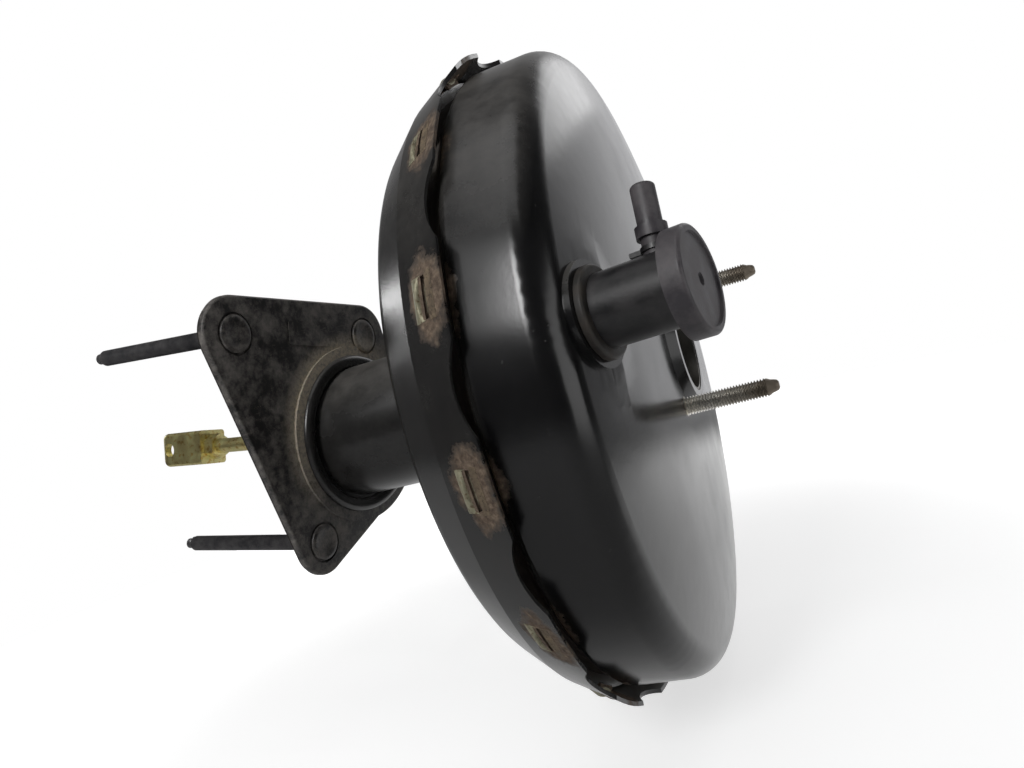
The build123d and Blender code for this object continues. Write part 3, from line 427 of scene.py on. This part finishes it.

# %% Clouds, painted highlight streaks and specks on the bracket
clouds = add(tree, "TexNoise", {"Vector": place, "Scale": 1 / (12 * mm), "Detail": 8.0, "Roughness": 0.76})
amount = {"Value": clouds, "From Min": 0.43, "From Max": 0.62, "To Min": 0.06, "To Max": 1.0}
dusty = add(tree, "Math", {0: add(tree, "MapRange", amount), 1: packed}, operation="ADD", use_clamp=True)
stretched = add(tree, "VectorMath", {0: place, 1: (1.0, 1.0, 9.0)}, operation="MULTIPLY")
# painted highlight: pale streaks across the bracket stand in for glints of light
painted_highlight_streaks = add(tree, "TexNoise", {"Vector": stretched, "Scale": 1 / (9 * mm), "Detail": 4.0, "Roughness": 0.6})
painted_highlight_streaks = add(tree, "MapRange", {"Value": painted_highlight_streaks, "From Min": 0.62, "From Max": 0.7, "To Max": 0.5})
pale = add(tree, "MapRange", {"Value": specks, "From Min": 0.63, "From Max": 0.72, "To Max": 0.7})
coat = add(tree, "Mix", {0: dusty, 6: "#1f1f20", 7: "#827d78"}, data_type="RGBA")
coat = add(tree, "Mix", {0: painted_highlight_streaks, 6: coat, 7: "#77706a"}, data_type="RGBA")
coat = add(tree, "Mix", {0: packed, 6: coat, 7: "#c9bda8"}, data_type="RGBA", clamp_factor=True)
feed(shader, {"Base Color": add(tree, "Mix", {0: pale, 6: coat, 7: "#9b9286"}, data_type="RGBA")})
feed(shader, {"Roughness": add(tree, "MapRange", {"Value": dusty, "To Min": 0.32, "To Max": 0.75})})
feed(shader, {"Normal": add(tree, "Bump", {"Height": specks, "Strength": 0.3, "Distance": 0.3 * mm})})
print("bracket paint:", len(tree.nodes), "nodes")

# %% [markdown]
# ## Plated and bare steel
#
# These finishes share one recipe: a metal whose colour drifts between two tones, with a roughness that
# drifts too, a fine grain and, where it needs one, a stain in its deepest patches. An oxide is only partly
# metallic, so those take a lower share.


# %% Metals
def metal(name, pair, roughness, patch, grain=0.1, stain=None, metallic=1.0):
    """A metal between two tones in patches of that size, with an optional stain in its deepest patches."""
    made, tree, shader = finish(name, {"Metallic": metallic})
    place = add(tree, "TexCoord").outputs["Object"]
    drift = add(tree, "TexNoise", {"Vector": place, "Scale": 1 / patch, "Detail": 5.0, "Roughness": 0.6})
    share = add(tree, "MapRange", {"Value": drift, "From Min": 0.35, "From Max": 0.65})
    colour = add(tree, "Mix", {0: share, 6: pair[0], 7: pair[1]}, data_type="RGBA")
    if stain:
        spots = add(tree, "TexNoise", {"Vector": place, "Scale": 2.5 / patch, "Detail": 4.0})
        deep = add(tree, "MapRange", {"Value": spots, "From Min": 0.54, "From Max": 0.66, "To Max": 0.8})
        colour = add(tree, "Mix", {0: deep, 6: colour, 7: stain}, data_type="RGBA")
    rough = add(tree, "MapRange", {"Value": share, "To Min": roughness[0], "To Max": roughness[1]})
    # the real grain is finer than a pixel, so it is drawn at half a millimetre
    fine = add(tree, "TexNoise", {"Vector": place, "Scale": 1 / (0.5 * mm), "Detail": 2.0})
    bumped = add(tree, "Bump", {"Height": fine, "Strength": grain, "Distance": 0.1 * mm})
    feed(shader, {"Base Color": colour, "Roughness": rough, "Normal": bumped})
    return made


# a dark conversion coat: nearly black, with a dull steel glint along an edge
black_oxide = metal("black_oxide_stud", ("#4e4e50", "#6b696a"), (0.34, 0.5), 6 * mm, metallic=0.45)
# plating gone dull grey, brown where it has worn
bright_zinc = metal("dulled_bright_zinc", ("#9a9996", "#75736e"), (0.32, 0.5), 5 * mm, stain="#5d5042")
# chromate over zinc: a straw colour that shifts to green, with amber spots
yellow_zinc = metal("yellow_chromated_zinc", ("#f3e2a0", "#d8d49a"), (0.32, 0.48), 7 * mm, stain="#c09a50")
# bare sheet under a film of oil: an even, slightly warm grey
oily_steel = metal("oiled_pressed_steel", ("#8c8a86", "#6f6c66"), (0.3, 0.5), 12 * mm)
# wire that was hardened in oil: dark grey and smooth
spring_wire = metal("oil_tempered_spring_wire", ("#4c4b4d", "#5d5b5a"), (0.3, 0.42), 4 * mm)
# the sheared edge of a lance: matt and brown
cut_steel = metal(
    "rusted_cut_steel",
    ("#5d5143", "#85755f"),
    (0.6, 0.8),
    2.5 * mm,
    grain=0.5,
    stain="#453a30",
    metallic=0.2,
)
# the tongue that the punch has scraped: bare, pale and greenish grey, with rust in its pits
bared_steel = metal(
    "bared_tongue_steel",
    ("#8f8c76", "#b0ab92"),
    (0.45, 0.65),
    3 * mm,
    grain=0.3,
    stain="#6e5c45",
    metallic=0.5,
)
metals = (black_oxide, bright_zinc, yellow_zinc, oily_steel, spring_wire, cut_steel, bared_steel)
print("metals:", *[made.name for made in metals])

# %% [markdown]
# ## Rubber, plastic, fibre and filter
#
# None of these is metal, so what sets them apart is how rough they are and what their surface is made of.
# One recipe serves them all: two tones, a roughness that drifts with them, and a texture of a real size.


# %% Non-metals
def moulded(name, pair, roughness, patch, texture, bump):
    """A non-metal between two tones, with a surface texture of a given size and height."""
    made, tree, shader = finish(name, {"IOR": 1.5})
    place = add(tree, "TexCoord").outputs["Object"]
    drift = add(tree, "TexNoise", {"Vector": place, "Scale": 1 / patch, "Detail": 6.0, "Roughness": 0.65})
    share = add(tree, "MapRange", {"Value": drift, "From Min": 0.38, "From Max": 0.66})
    colour = add(tree, "Mix", {0: share, 6: pair[0], 7: pair[1]}, data_type="RGBA")
    rough = add(tree, "MapRange", {"Value": share, "To Min": roughness[0], "To Max": roughness[1]})
    cells = add(tree, "TexNoise", {"Vector": place, "Scale": 1 / texture, "Detail": 3.0})
    bumped = add(tree, "Bump", {"Height": cells, "Strength": bump, "Distance": texture / 4})
    feed(shader, {"Base Color": colour, "Roughness": rough, "Normal": bumped})
    return made


# moulded rubber, with the brown bloom that rises to its surface
rubber = moulded("bloomed_epdm_rubber", ("#1b1917", "#3a342e"), (0.5, 0.75), 9 * mm, 0.8 * mm, 0.25)
# black nylon with glass fibre: faint flow marks and a soft sheen
nylon = moulded("glass_filled_nylon", ("#1b1b1c", "#302e2f"), (0.3, 0.48), 11 * mm, 1.0 * mm, 0.15)
# the same nylon out in the weather: greyer and duller
worn_nylon = moulded("weathered_nylon", ("#373438", "#565254"), (0.42, 0.6), 9 * mm, 1.0 * mm, 0.2)
# brown resin whose filler shows as a fine mottle
phenolic = moulded("filled_phenolic", ("#3a2a1f", "#54402f"), (0.35, 0.5), 3 * mm, 0.6 * mm, 0.15)
# pressed fibres: dark, matt and slightly hairy
gasket_fibre = moulded("compressed_fibre_sheet", ("#232120", "#37322d"), (0.75, 0.9), 4 * mm, 0.7 * mm, 0.5)
# open cells, which hold dust and have no shine at all
foam = moulded("open_cell_foam", ("#5f5e58", "#87857c"), (0.9, 0.95), 2 * mm, 0.9 * mm, 1.0)
# pale matted wool
felt = moulded("pressed_wool_felt", ("#a79f90", "#bfb6a5"), (0.9, 0.95), 3 * mm, 0.5 * mm, 0.8)
print("non-metals:", *[made.name for made in (rubber, nylon, worn_nylon, phenolic, gasket_fibre, foam, felt)])

# %% [markdown]
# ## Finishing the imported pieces
#
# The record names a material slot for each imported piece, so one table from slot to finish dresses them all.
# The port's cap and its nipple stand out in the weather, and have gone greyer than the other nylon.

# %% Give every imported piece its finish
finishes = {
    "black_enamel_steel": enamel,
    "dusty_bracket_steel": bracket_paint,
    "black_oxide_steel": black_oxide,
    "zinc_plated_steel": bright_zinc,
    "yellow_zinc_steel": yellow_zinc,
    "pressed_steel": oily_steel,
    "spring_steel": spring_wire,
    "gasket_fibre": gasket_fibre,
    "moulded_rubber": rubber,
    "black_nylon": nylon,
    "phenolic_resin": phenolic,
    "filter_foam": foam,
    "filter_felt": felt,
}
wearing = {part["node"]: finishes[part["material_slot"]] for part in frame["record"]["subparts"]}
wearing.update(port_cap=worn_nylon, vacuum_nipple=worn_nylon)
for name, coat in wearing.items():
    for held in nodes[name].material_slots:
        held.material = coat
print(len(set(wearing.values())), "finishes on", len(wearing), "pieces")

# %% [markdown]
# ## Turned shapes
#
# Studs, springs, the boot and the diaphragm are all round, so most of their meshes come from spinning a
# profile: a list of distances along a line, each with a radius. An open profile is closed with two caps,
# and a loop of stations gives a ring or a thin skin. Every finished bmesh then becomes an object in the
# same way: smooth faces, with a crease wherever two of them meet at more than a given angle.

# %% Directions
origin, forward = Vector((0, 0, 0)), Vector((1, 0, 0))
print("profiles are spun along", [round(v, 3) for v in rearward], "or", list(forward))


# %% Turned shapes
def turned(bm, stations, base, axis, closed=False, segments=48):
    """Spins (distance, radius) stations about a line. Closed stations are a loop; open ones get two caps."""
    turn = Vector((0, 0, 1)).rotation_difference(axis).to_matrix()
    rings = []
    for along, radius in stations:
        angles = [2 * math.pi * step / segments for step in range(segments)]
        spots = [Vector((radius * math.cos(a), radius * math.sin(a), along)) for a in angles]
        rings.append([bm.verts.new(base + turn @ spot) for spot in spots])
    for low, high in zip(rings, rings[1:] + rings[:1] if closed else rings[1:]):
        for step in range(segments):
            after = (step + 1) % segments
            bm.faces.new((low[step], low[after], high[after], high[step]))
    if not closed:
        bm.faces.new(rings[0][::-1])
        bm.faces.new(rings[-1])


def scaled(profile, start=0.0):
    """A profile in millimetres as stations in metres, from a start along the line."""
    return [(start + along * mm, radius * mm) for along, radius in profile]


def piece(name, bm, material, body, sharp=35):
    """Turns a bmesh into an object that is creased at sharp edges, and rides it on a body if one is given."""
    bmesh.ops.recalc_face_normals(bm, faces=bm.faces)
    for face in bm.faces:
        face.smooth = True
    for edge in bm.edges:
        edge.smooth = len(edge.link_faces) == 2 and edge.calc_face_angle() < math.radians(sharp)
    made = bpy.data.objects.new(name, bpy.data.meshes.new(name))
    bm.to_mesh(made.data)
    bm.free()
    made.data.materials.append(material)
    bpy.context.scene.collection.objects.link(made)
    if body:
        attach(made, body)
    print(name, "has", len(made.data.polygons), "faces")
    return made


print("a 1 mm step in a profile is", scaled([(1, 0)])[0][0], "m")

# %% [markdown]
# ## Rolled threads
#
# A rolled M8 thread is one ridge wound round the stud, 1.25 mm from turn to turn, with 60 degree flanks, a
# flat of an eighth of the pitch on its crest and a quarter at its root. A bump texture would leave a smooth
# outline, so the ridge is built as a ribbon of four corners a turn that follows the helix, round a solid
# core. Corners past either end are held there at the root's radius, so the ridge runs out cleanly.

# %% Thread
stud_radius, pitch = 4 * mm, 1.25 * mm  # M8
thread_depth = 0.613  # of the pitch
root_flat, crest_flat = 1 / 4, 1 / 8  # of the pitch
core_gap = 0.02 * mm  # between the thread's root and the core inside it
thread_sides = 24  # steps in one turn


def threaded(bm, start, end, base, axis):
    """A rolled thread from start to end along a line, with a core inside it."""
    root, flank = stud_radius - thread_depth * pitch, (1 - root_flat - crest_flat) / 2
    crest = root_flat + flank
    corners = ((0.0, root), (root_flat, root), (crest, stud_radius), (crest + crest_flat, stud_radius))
    turn = Vector((0, 0, 1)).rotation_difference(axis).to_matrix()
    grid = []
    for step in range(thread_sides * math.ceil((end - start) / pitch + 1)):
        angle = 2 * math.pi * step / thread_sides
        row = []
        for share, tall in corners:
            along = start + (step / thread_sides - 1 + share) * pitch
            if not start < along < end:
                along, tall = min(max(along, start), end), root
            spot = Vector((tall * math.cos(angle), tall * math.sin(angle), along))
            row.append(bm.verts.new(base + turn @ spot))
        grid.append(row)
    for step in range(len(grid) - thread_sides - 1):
        here = grid[step] + grid[step + thread_sides][:1]
        there = grid[step + 1] + grid[step + thread_sides + 1][:1]
        for low in range(len(corners)):
            bm.faces.new((here[low], there[low], there[low + 1], here[low + 1]))
    bmesh.ops.remove_doubles(bm, verts=bm.verts, dist=1e-6)
    bmesh.ops.dissolve_degenerate(bm, edges=bm.edges, dist=1e-7)
    loose = [vert for vert in bm.verts if not vert.link_faces]
    bmesh.ops.delete(bm, geom=loose, context="VERTS")
    core = [(start, root - core_gap), (end, root - core_gap)]
    turned(bm, core, base, axis, segments=thread_sides)


print("the thread's crest is", round(crest_flat * pitch / mm, 3), "mm wide")

# %% [markdown]
# ## Long studs
#
# Each long stud has a flat round head that lies in a recess of the bracket, a knurled neck pressed through
# the plate, the thread, and a pilot tip that helps it find its hole. Distances run rearwards from where
# the stud crosses the bulkhead's face. The heads are pieces of their own, because dust has covered them.

# %% Long studs of the bracket
head_front, head_back, thread_start, thread_end = -5.85 * mm, -3.85 * mm, -2.0 * mm, 90.0 * mm
knurl_radius = 4.4 * mm
head_profile = [(0.35, 0.4), (0.35, 5.2), (0.0, 6.2), (0.0, 7.8), (0.3, 8.5), (0.8, 8.8), (2.0, 8.8)]
long_tip = [(-0.6, 3.2), (0.0, 3.7), (1.6, 2.9), (2.0, 2.7), (4.6, 2.7), (5.0, 2.3)]
bm, heads = bmesh.new(), bmesh.new()
for corner in ("upper_near", "upper_far", "lower"):
    halfway = Vector(mounts[f"bulkhead_stud_{corner}"]["pos_m"])  # the middle of the thread
    foot = halfway - (thread_start + thread_end) / 2 * rearward
    turned(heads, scaled(head_profile, head_front), foot, rearward)
    turned(bm, [(head_back, knurl_radius), (thread_start, knurl_radius)], foot, rearward)
    threaded(bm, thread_start, thread_end, foot, rearward)
    turned(bm, scaled(long_tip, thread_end), foot, rearward)
long_studs = piece("long_threaded_studs", bm, black_oxide, "housing")
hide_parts("bulkhead_studs")
piece("dusty_stud_heads", heads, bracket_paint, "housing")
print("threads are", round((thread_end - thread_start) / mm), "mm long")

# %% [markdown]
# ## Lip round the neck's foot
#
# Where the neck meets the bracket, its edge is rolled over the plate. The roll is a half-round bead whose
# section is a short loop, spun about the line that is square to the bracket.

# %% Rolled lip
lip_section = [(-6.0, 34.0), (-7.6, 34.4), (-8.5, 36.0), (-9.0, 38.0), (-8.6, 39.8), (-7.4, 40.9)]
lip_section += [(-6.0, 41.1)]
bm = bmesh.new()
turned(bm, scaled(lip_section), origin, rearward, closed=True, segments=128)
piece("rolled_neck_lip", bm, enamel, "housing", sharp=60)

# %% [markdown]
# ## Short studs
#
# The two short studs on the front are zinc plated. Their roots are pale with dust, and their outer third,
# where nuts have been turned on and off, has gone brown. The colour therefore runs along the booster's
# axis, broken up by a noise so that it does not look like a painted ring.

# %% Finish of the short studs
wear_from, wear_to = 180 * mm, 218 * mm  # along the booster's axis
stud_zinc, tree, shader = finish("worn_zinc_stud", {"Metallic": 0.85})
place = add(tree, "TexCoord").outputs["Object"]
worn = add(tree, "TexNoise", {"Vector": place, "Scale": 1 / (4 * mm), "Detail": 5.0, "Roughness": 0.7})
ahead = add(tree, "SeparateXYZ", {"Vector": place}).outputs["X"]
outward = add(tree, "MapRange", {"Value": ahead, "From Min": wear_from, "From Max": wear_to})
uneven = add(tree, "Math", {0: worn, 1: 0.5, 2: -0.25}, operation="MULTIPLY_ADD")
shifted = add(tree, "Math", {0: outward, 1: uneven}, operation="ADD")
greys = [(0.02, "#ece8de"), (0.2, "#cbc8c1"), (0.5, "#aea99f"), (0.78, "#7c7367")]
rough = add(tree, "MapRange", {"Value": shifted, "To Min": 0.34, "To Max": 0.55})
feed(shader, {"Base Color": add(tree, "ValToRGB", {"Fac": shifted}, greys), "Roughness": rough})
print("short studs darken over", round((wear_to - wear_from) / mm), "mm")

# %% Short studs of the master cylinder
inner_face, dome_face, taper_start = 172.9 * mm, 178.6 * mm, 213.2 * mm
stud_circle, stud_line = 34 * mm, (45, 225)  # degrees round the axis, from +Y
hidden_head = [(-3.0, 6.0), (-2.4, 6.5), (0.0, 6.5)]
short_tip = [(-0.6, 3.2), (0.0, 3.75), (0.8, 3.5), (1.8, 2.9), (3.2, 2.6), (4.4, 2.2), (5.0, 1.4)]
bm = bmesh.new()
for turn_round in stud_line:
    angle = math.radians(turn_round)
    foot = Vector((0, stud_circle * math.cos(angle), stud_circle * math.sin(angle)))
    turned(bm, scaled(hidden_head, inner_face), foot, forward)
    turned(bm, [(inner_face, knurl_radius), (dome_face, knurl_radius)], foot, forward)
    threaded(bm, dome_face, taper_start, foot, forward)
    turned(bm, scaled(short_tip, taper_start), foot, forward)
short_studs = piece("short_threaded_studs", bm, stud_zinc, "housing")
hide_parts("master_cylinder_studs")
print("short studs stand", round(2 * stud_circle / mm), "mm apart")

# %% [markdown]
# ## Dust boot
#
# The boot is a thin ribbed rubber bellows. Its mouth is clipped into the bracket's hole and its tail grips
# the input rod. When the brake is applied the rod moves 32 mm into the booster and the folds close up, so
# the bellows flattens along the axis. The tail is a cuff of its own that rides on the rod, because the rod
# also swings a little and the cuff has to stay on it. Both are thin skins, so they are drawn as a smooth
# middle line with half the wall to each side.


# %% A thin skin from its middle line
def smooth_line(corners, per_span=6):
    """Points on a smooth curve through the corners."""
    padded = [corners[0], *corners, corners[-1]]
    points = []
    for span in zip(padded, padded[1:], padded[2:], padded[3:]):
        for step in range(per_span):
            t = step / per_span
            point = []
            for p, q, r, s in zip(*span):
                bends = (2 * p - 5 * q + 4 * r - s) * t**2 + (3 * q - p - 3 * r + s) * t**3
                point.append(0.5 * (2 * q + (r - p) * t + bends))
            points.append(tuple(point))
    return [*points, corners[-1]]


def skin(line, thickness):
    """A closed loop of stations half the thickness to each side of a line."""
    sides = ([], [])
    for index, (along, radius) in enumerate(line):
        before, after = line[max(index - 1, 0)], line[min(index + 1, len(line) - 1)]
        run, rise = after[0] - before[0], after[1] - before[1]
        reach = thickness / 2 / (math.hypot(run, rise) or 1)
        sides[0].append((along - rise * reach, radius + run * reach))
        sides[1].append((along + rise * reach, radius - run * reach))
    return sides[0] + sides[1][::-1]


print("a skin of three stations has", len(skin([(0, 1), (1, 1), (2, 1)], 0.1)), "corners")

# %% Boot and cuff
mouth_depth, boot_end, boot_wall, cuff_wall = 7.35, 45.6, 1.4 * mm, 1.2 * mm
folds = [(-mouth_depth, 29.0), (-mouth_depth, 27.0), (-5.0, 26.75), (3, 26.7), (7, 31.4), (12, 28.6)]
folds += [(17, 32.0), (22, 28.6), (27, 31.4), (33, 28.4), (37, 23.5), (40, 17.5), (43.0, 18.0), (45.0, 13.0)]
folds += [(boot_end, 10.8)]
bm = bmesh.new()
turned(bm, skin(scaled(smooth_line(folds)), boot_wall), origin, rearward, closed=True, segments=96)
boot = piece("ribbed_dust_boot", bm, rubber, "housing", sharp=60)
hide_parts("dust_boot")
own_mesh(boot)
cuff_folds = [(48.8, 13.0), (49.6, 12.2), (50.4, 9.0), (52.0, 6.2), (54.0, 5.2), (57.5, 5.0)]
bm = bmesh.new()
turned(bm, skin(scaled(smooth_line(cuff_folds)), cuff_wall), origin, rearward, closed=True, segments=64)
piece("boot_cuff", bm, rubber, "input_rod", sharp=60)

# %% [markdown]
# ## Diaphragm
#
# The diaphragm is a rubber sheet between the piston and the rim. Its bead is clamped under the rim band and
# its inner edge sits on the piston, with a loose roll between them, so the roll is bent from one to the
# other as the piston moves.

# %% Diaphragm
sheet_wall, bead_radius, bead_x, bead_circle = 1.8 * mm, 2.75, 118.65, 134.5
roll = [(87.0, 43.4), (87.8, 47.0), (96.2, 53.6), (96.6, 60.0), (96.65, 104.0), (99.5, 109.9), (109.6, 110.5)]
roll += [(114.6, 114.0), (117.4, 121.0), (118.0, 128.0), (117.2, 133.0)]
rounds = [2 * math.pi * step / 16 for step in range(16)]
bead = [(bead_x + bead_radius * math.cos(a), bead_circle + bead_radius * math.sin(a)) for a in rounds]
inner_edge = [(85.1, 40.1), (88.9, 40.1), (88.9, 43.6), (85.1, 43.6)]
bm = bmesh.new()
turned(bm, skin(scaled(smooth_line(roll)), sheet_wall), origin, forward, closed=True, segments=144)
turned(bm, scaled(bead), origin, forward, closed=True, segments=144)
turned(bm, scaled(inner_edge), origin, forward, closed=True, segments=96)
diaphragm = piece("rolling_diaphragm", bm, rubber, None)
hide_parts("diaphragm")
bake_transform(diaphragm)

# %% [markdown]
# ## Springs
#
# The springs are wound from round wire. The big one pushes the piston back, on a slight cone, and closes up
# by the stroke when the brake is applied. A small one lifts the input rod, and moves with it, and another
# holds the check valve shut. A tube that follows a helix gives each of them its real round section.


# %% A wound spring
wire_sides, steps_a_turn = 12, 40


def wound(bm, start, end, radii, turns, wire, base, axis):
    """A helical spring of round wire along a line, with the radius at each end."""
    turn = Vector((0, 0, 1)).rotation_difference(axis).to_matrix()
    rings = []
    for step in range(turns * steps_a_turn + 1):
        share = step / (turns * steps_a_turn)
        angle = 2 * math.pi * turns * share
        radius = radii[0] + (radii[1] - radii[0]) * share
        out = turn @ Vector((math.cos(angle), math.sin(angle), 0))
        centre = base + (start + wire / 2 + (end - start - wire) * share) * axis + radius * out
        angles = [2 * math.pi * side / wire_sides for side in range(wire_sides)]
        spots = [centre + wire / 2 * (math.cos(a) * out + math.sin(a) * axis) for a in angles]
        rings.append([bm.verts.new(spot) for spot in spots])
    for low, high in zip(rings, rings[1:]):
        for side in range(wire_sides):
            after = (side + 1) % wire_sides
            bm.faces.new((low[side], low[after], high[after], high[side]))
    bm.faces.new(rings[0][::-1])
    bm.faces.new(rings[-1])


print("each turn of wire takes", wire_sides * steps_a_turn, "faces")

# %% Return spring
spring_rear, spring_front, return_wire, return_radii = 90.35 * mm, 172.8 * mm, 3.4 * mm, (34 * mm, 23.6 * mm)
bm = bmesh.new()
wound(bm, spring_rear, spring_front, return_radii, turns=4, wire=return_wire, base=origin, axis=forward)
spring = piece("wound_return_spring", bm, spring_wire, "housing", sharp=60)
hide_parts("return_spring")
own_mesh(spring)

# %% Input rod spring
rod_spring_from, rod_spring_to, rod_coil, small_wire = 19.4 * mm, 26.9 * mm, 5.3 * mm, 1 * mm
bm = bmesh.new()
coil = (rod_coil, rod_coil)
wound(bm, rod_spring_from, rod_spring_to, coil, turns=3, wire=small_wire, base=origin, axis=rearward)
rod_spring = piece("wound_rod_spring", bm, spring_wire, "input_rod", sharp=60)
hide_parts("rod_return_spring")

# %% Check valve spring
valve_length, valve_coil = 20.2 * mm, 5.5 * mm
lift_axis = next(Vector(joint["axis"]) for joint in frame["joints"] if joint["name"] == "check_valve_lift")
lift_axis.normalize()
valve_low, valve_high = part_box("check_valve_spring")
valve_foot = (valve_low + valve_high) / 2 - valve_length / 2 * lift_axis
bm = bmesh.new()
coil = (valve_coil, valve_coil)
wound(bm, 0.0, valve_length, coil, turns=4, wire=small_wire, base=valve_foot, axis=lift_axis)
valve_spring = piece("wound_check_spring", bm, spring_wire, "housing", sharp=60)
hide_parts("check_valve_spring")
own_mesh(valve_spring)

# %% [markdown]
# ## The drawn dome
#
# The front shell is drawn in a press, so its dome runs from the flat seat to the shoulder in one even curve.
# CAD has it as two cones that meet at an angle of ten degrees, and gloss shows that as a line. The shell is
# therefore copied, cut at many steps along the axis, which on a cone gives rings, and each ring near the
# joint of the cones is lowered by what an even curve needs. The flat round the port stays as it is.

# %% Smooth dome on the front shell
crease_radius = 104 * mm  # where the two cones meet
reach = 28 * mm  # that the even curve takes to each side of it
slope_change = 0.176  # between the cones
dome_rear, dome_front, cuts = 168.9 * mm, 176.8 * mm, 40
wall_front = 160 * mm  # only what lies in front of this is dome
flat_radius, flat_fade = 20 * mm, 16 * mm  # the flat round the port, and the ring where the curve comes back
port_low, port_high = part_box("port_grommet")
port_middle = (port_low + port_high) / 2
bm = bmesh.new()
bm.from_mesh(nodes["front_shell"].data)
bmesh.ops.remove_doubles(bm, verts=bm.verts, dist=1e-6)
for cut in range(cuts + 1):
    level = dome_rear + (dome_front - dome_rear) * cut / cuts
    geometry = bm.verts[:] + bm.edges[:] + bm.faces[:]
    bmesh.ops.bisect_plane(bm, geom=geometry, dist=1e-7, plane_co=(level, 0, 0), plane_no=(1, 0, 0))
for vert in bm.verts:
    off_crease = abs(math.hypot(vert.co.y, vert.co.z) - crease_radius)
    off_port = math.hypot(vert.co.y - port_middle.y, vert.co.z - port_middle.z)
    clear = min(max((off_port - flat_radius) / flat_fade, 0), 1)
    if off_crease < reach and vert.co.x > wall_front:
        vert.co.x -= clear**2 * (3 - 2 * clear) * slope_change * (reach - off_crease) ** 2 / (4 * reach)
dome = piece("drawn_front_shell", bm, enamel, "housing")
if "custom_normal" in dome.data.attributes:
    dome.data.attributes.remove(dome.data.attributes["custom_normal"])
weighted = dome.modifiers.new("even_shading", "WEIGHTED_NORMAL")
weighted.keep_sharp = True
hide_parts("front_shell")
print("dome lowered by at most", round(slope_change * reach / 4 / mm, 2), "mm")

# %% [markdown]
# ## The lances
#
# Each lance is a slit cut through the rim band with a punch that also bends the steel behind it inwards, so
# it hooks in front of the clamped flange. The punch leaves a curved dimple behind the slit and a raised lip
# in front of it. Both are thin curved patches over the plain CAD tongue, made from a grid of heights.


# %% Curved patches on the band
patch_wall, columns, rows = 0.5 * mm, 14, 8


def punched(bm, turn, x_from, x_to, height, half_width):
    """A thin curved patch on the band, whose height above it comes from two shares, 0 to 1 and -1 to 1."""
    sides = []
    for lower in (0.0, patch_wall):
        grid = []
        for row in range(rows + 1):
            x = x_from + (x_to - x_from) * row / rows
            band = bend_radius + (x - bend_x) * band_slope
            line = []
            for column in range(columns + 1):
                share = 2 * column / columns - 1
                radius = band + height(row / rows, share) - lower
                angle = turn + share * half_width / band
                line.append(bm.verts.new((x, radius * math.cos(angle), radius * math.sin(angle))))
            grid.append(line)
        for near, far in zip(grid, grid[1:]):
            for column in range(columns):
                bm.faces.new((near[column], near[column + 1], far[column + 1], far[column]))
        right, left = [line[-1] for line in grid[1:]], [line[0] for line in grid[-2:0:-1]]
        sides.append(grid[0] + right + grid[-1][-2::-1] + left)
    for index in range(len(sides[0])):
        after = (index + 1) % len(sides[0])
        bm.faces.new((sides[0][index], sides[0][after], sides[1][after], sides[1][index]))


def tongue(along, across):
    """Humped behind the slit, then turned down into it."""
    hump, plunge = math.sin(math.pi * min(along / 0.75, 1)), max(along - 0.5, 0) / 0.5
    return 0.15 * mm + (1.3 * mm * hump - 2.9 * mm * plunge**1.5) * (1 - abs(across) ** 2.5)


def lip(along, across):
    """Slightly raised at the slit, and fading away forwards."""
    return 0.1 * mm + 0.5 * mm * (1 - along) ** 2 * (1 - across**2)


tongue_top = max(tongue(row / rows, 0) for row in range(rows + 1))
print("a tongue rises", round(tongue_top / mm, 2), "mm above the band")

# %% Dimples and lips
hump_length, lip_length, tongue_half, lip_half = 2.4 * mm, 3 * mm, 7.8 * mm, 8.5 * mm
tongues, lips = bmesh.new(), bmesh.new()
for turn in lance_angles:
    punched(tongues, turn, tongue_root - hump_length, slit_rear, tongue, tongue_half)
    punched(lips, turn, slit_front, slit_front + lip_length, lip, lip_half)
piece("punched_tongues", tongues, bared_steel, "housing", sharp=50)
piece("punched_lips", lips, cut_steel, "housing", sharp=50)
print("lances:", lance_count)
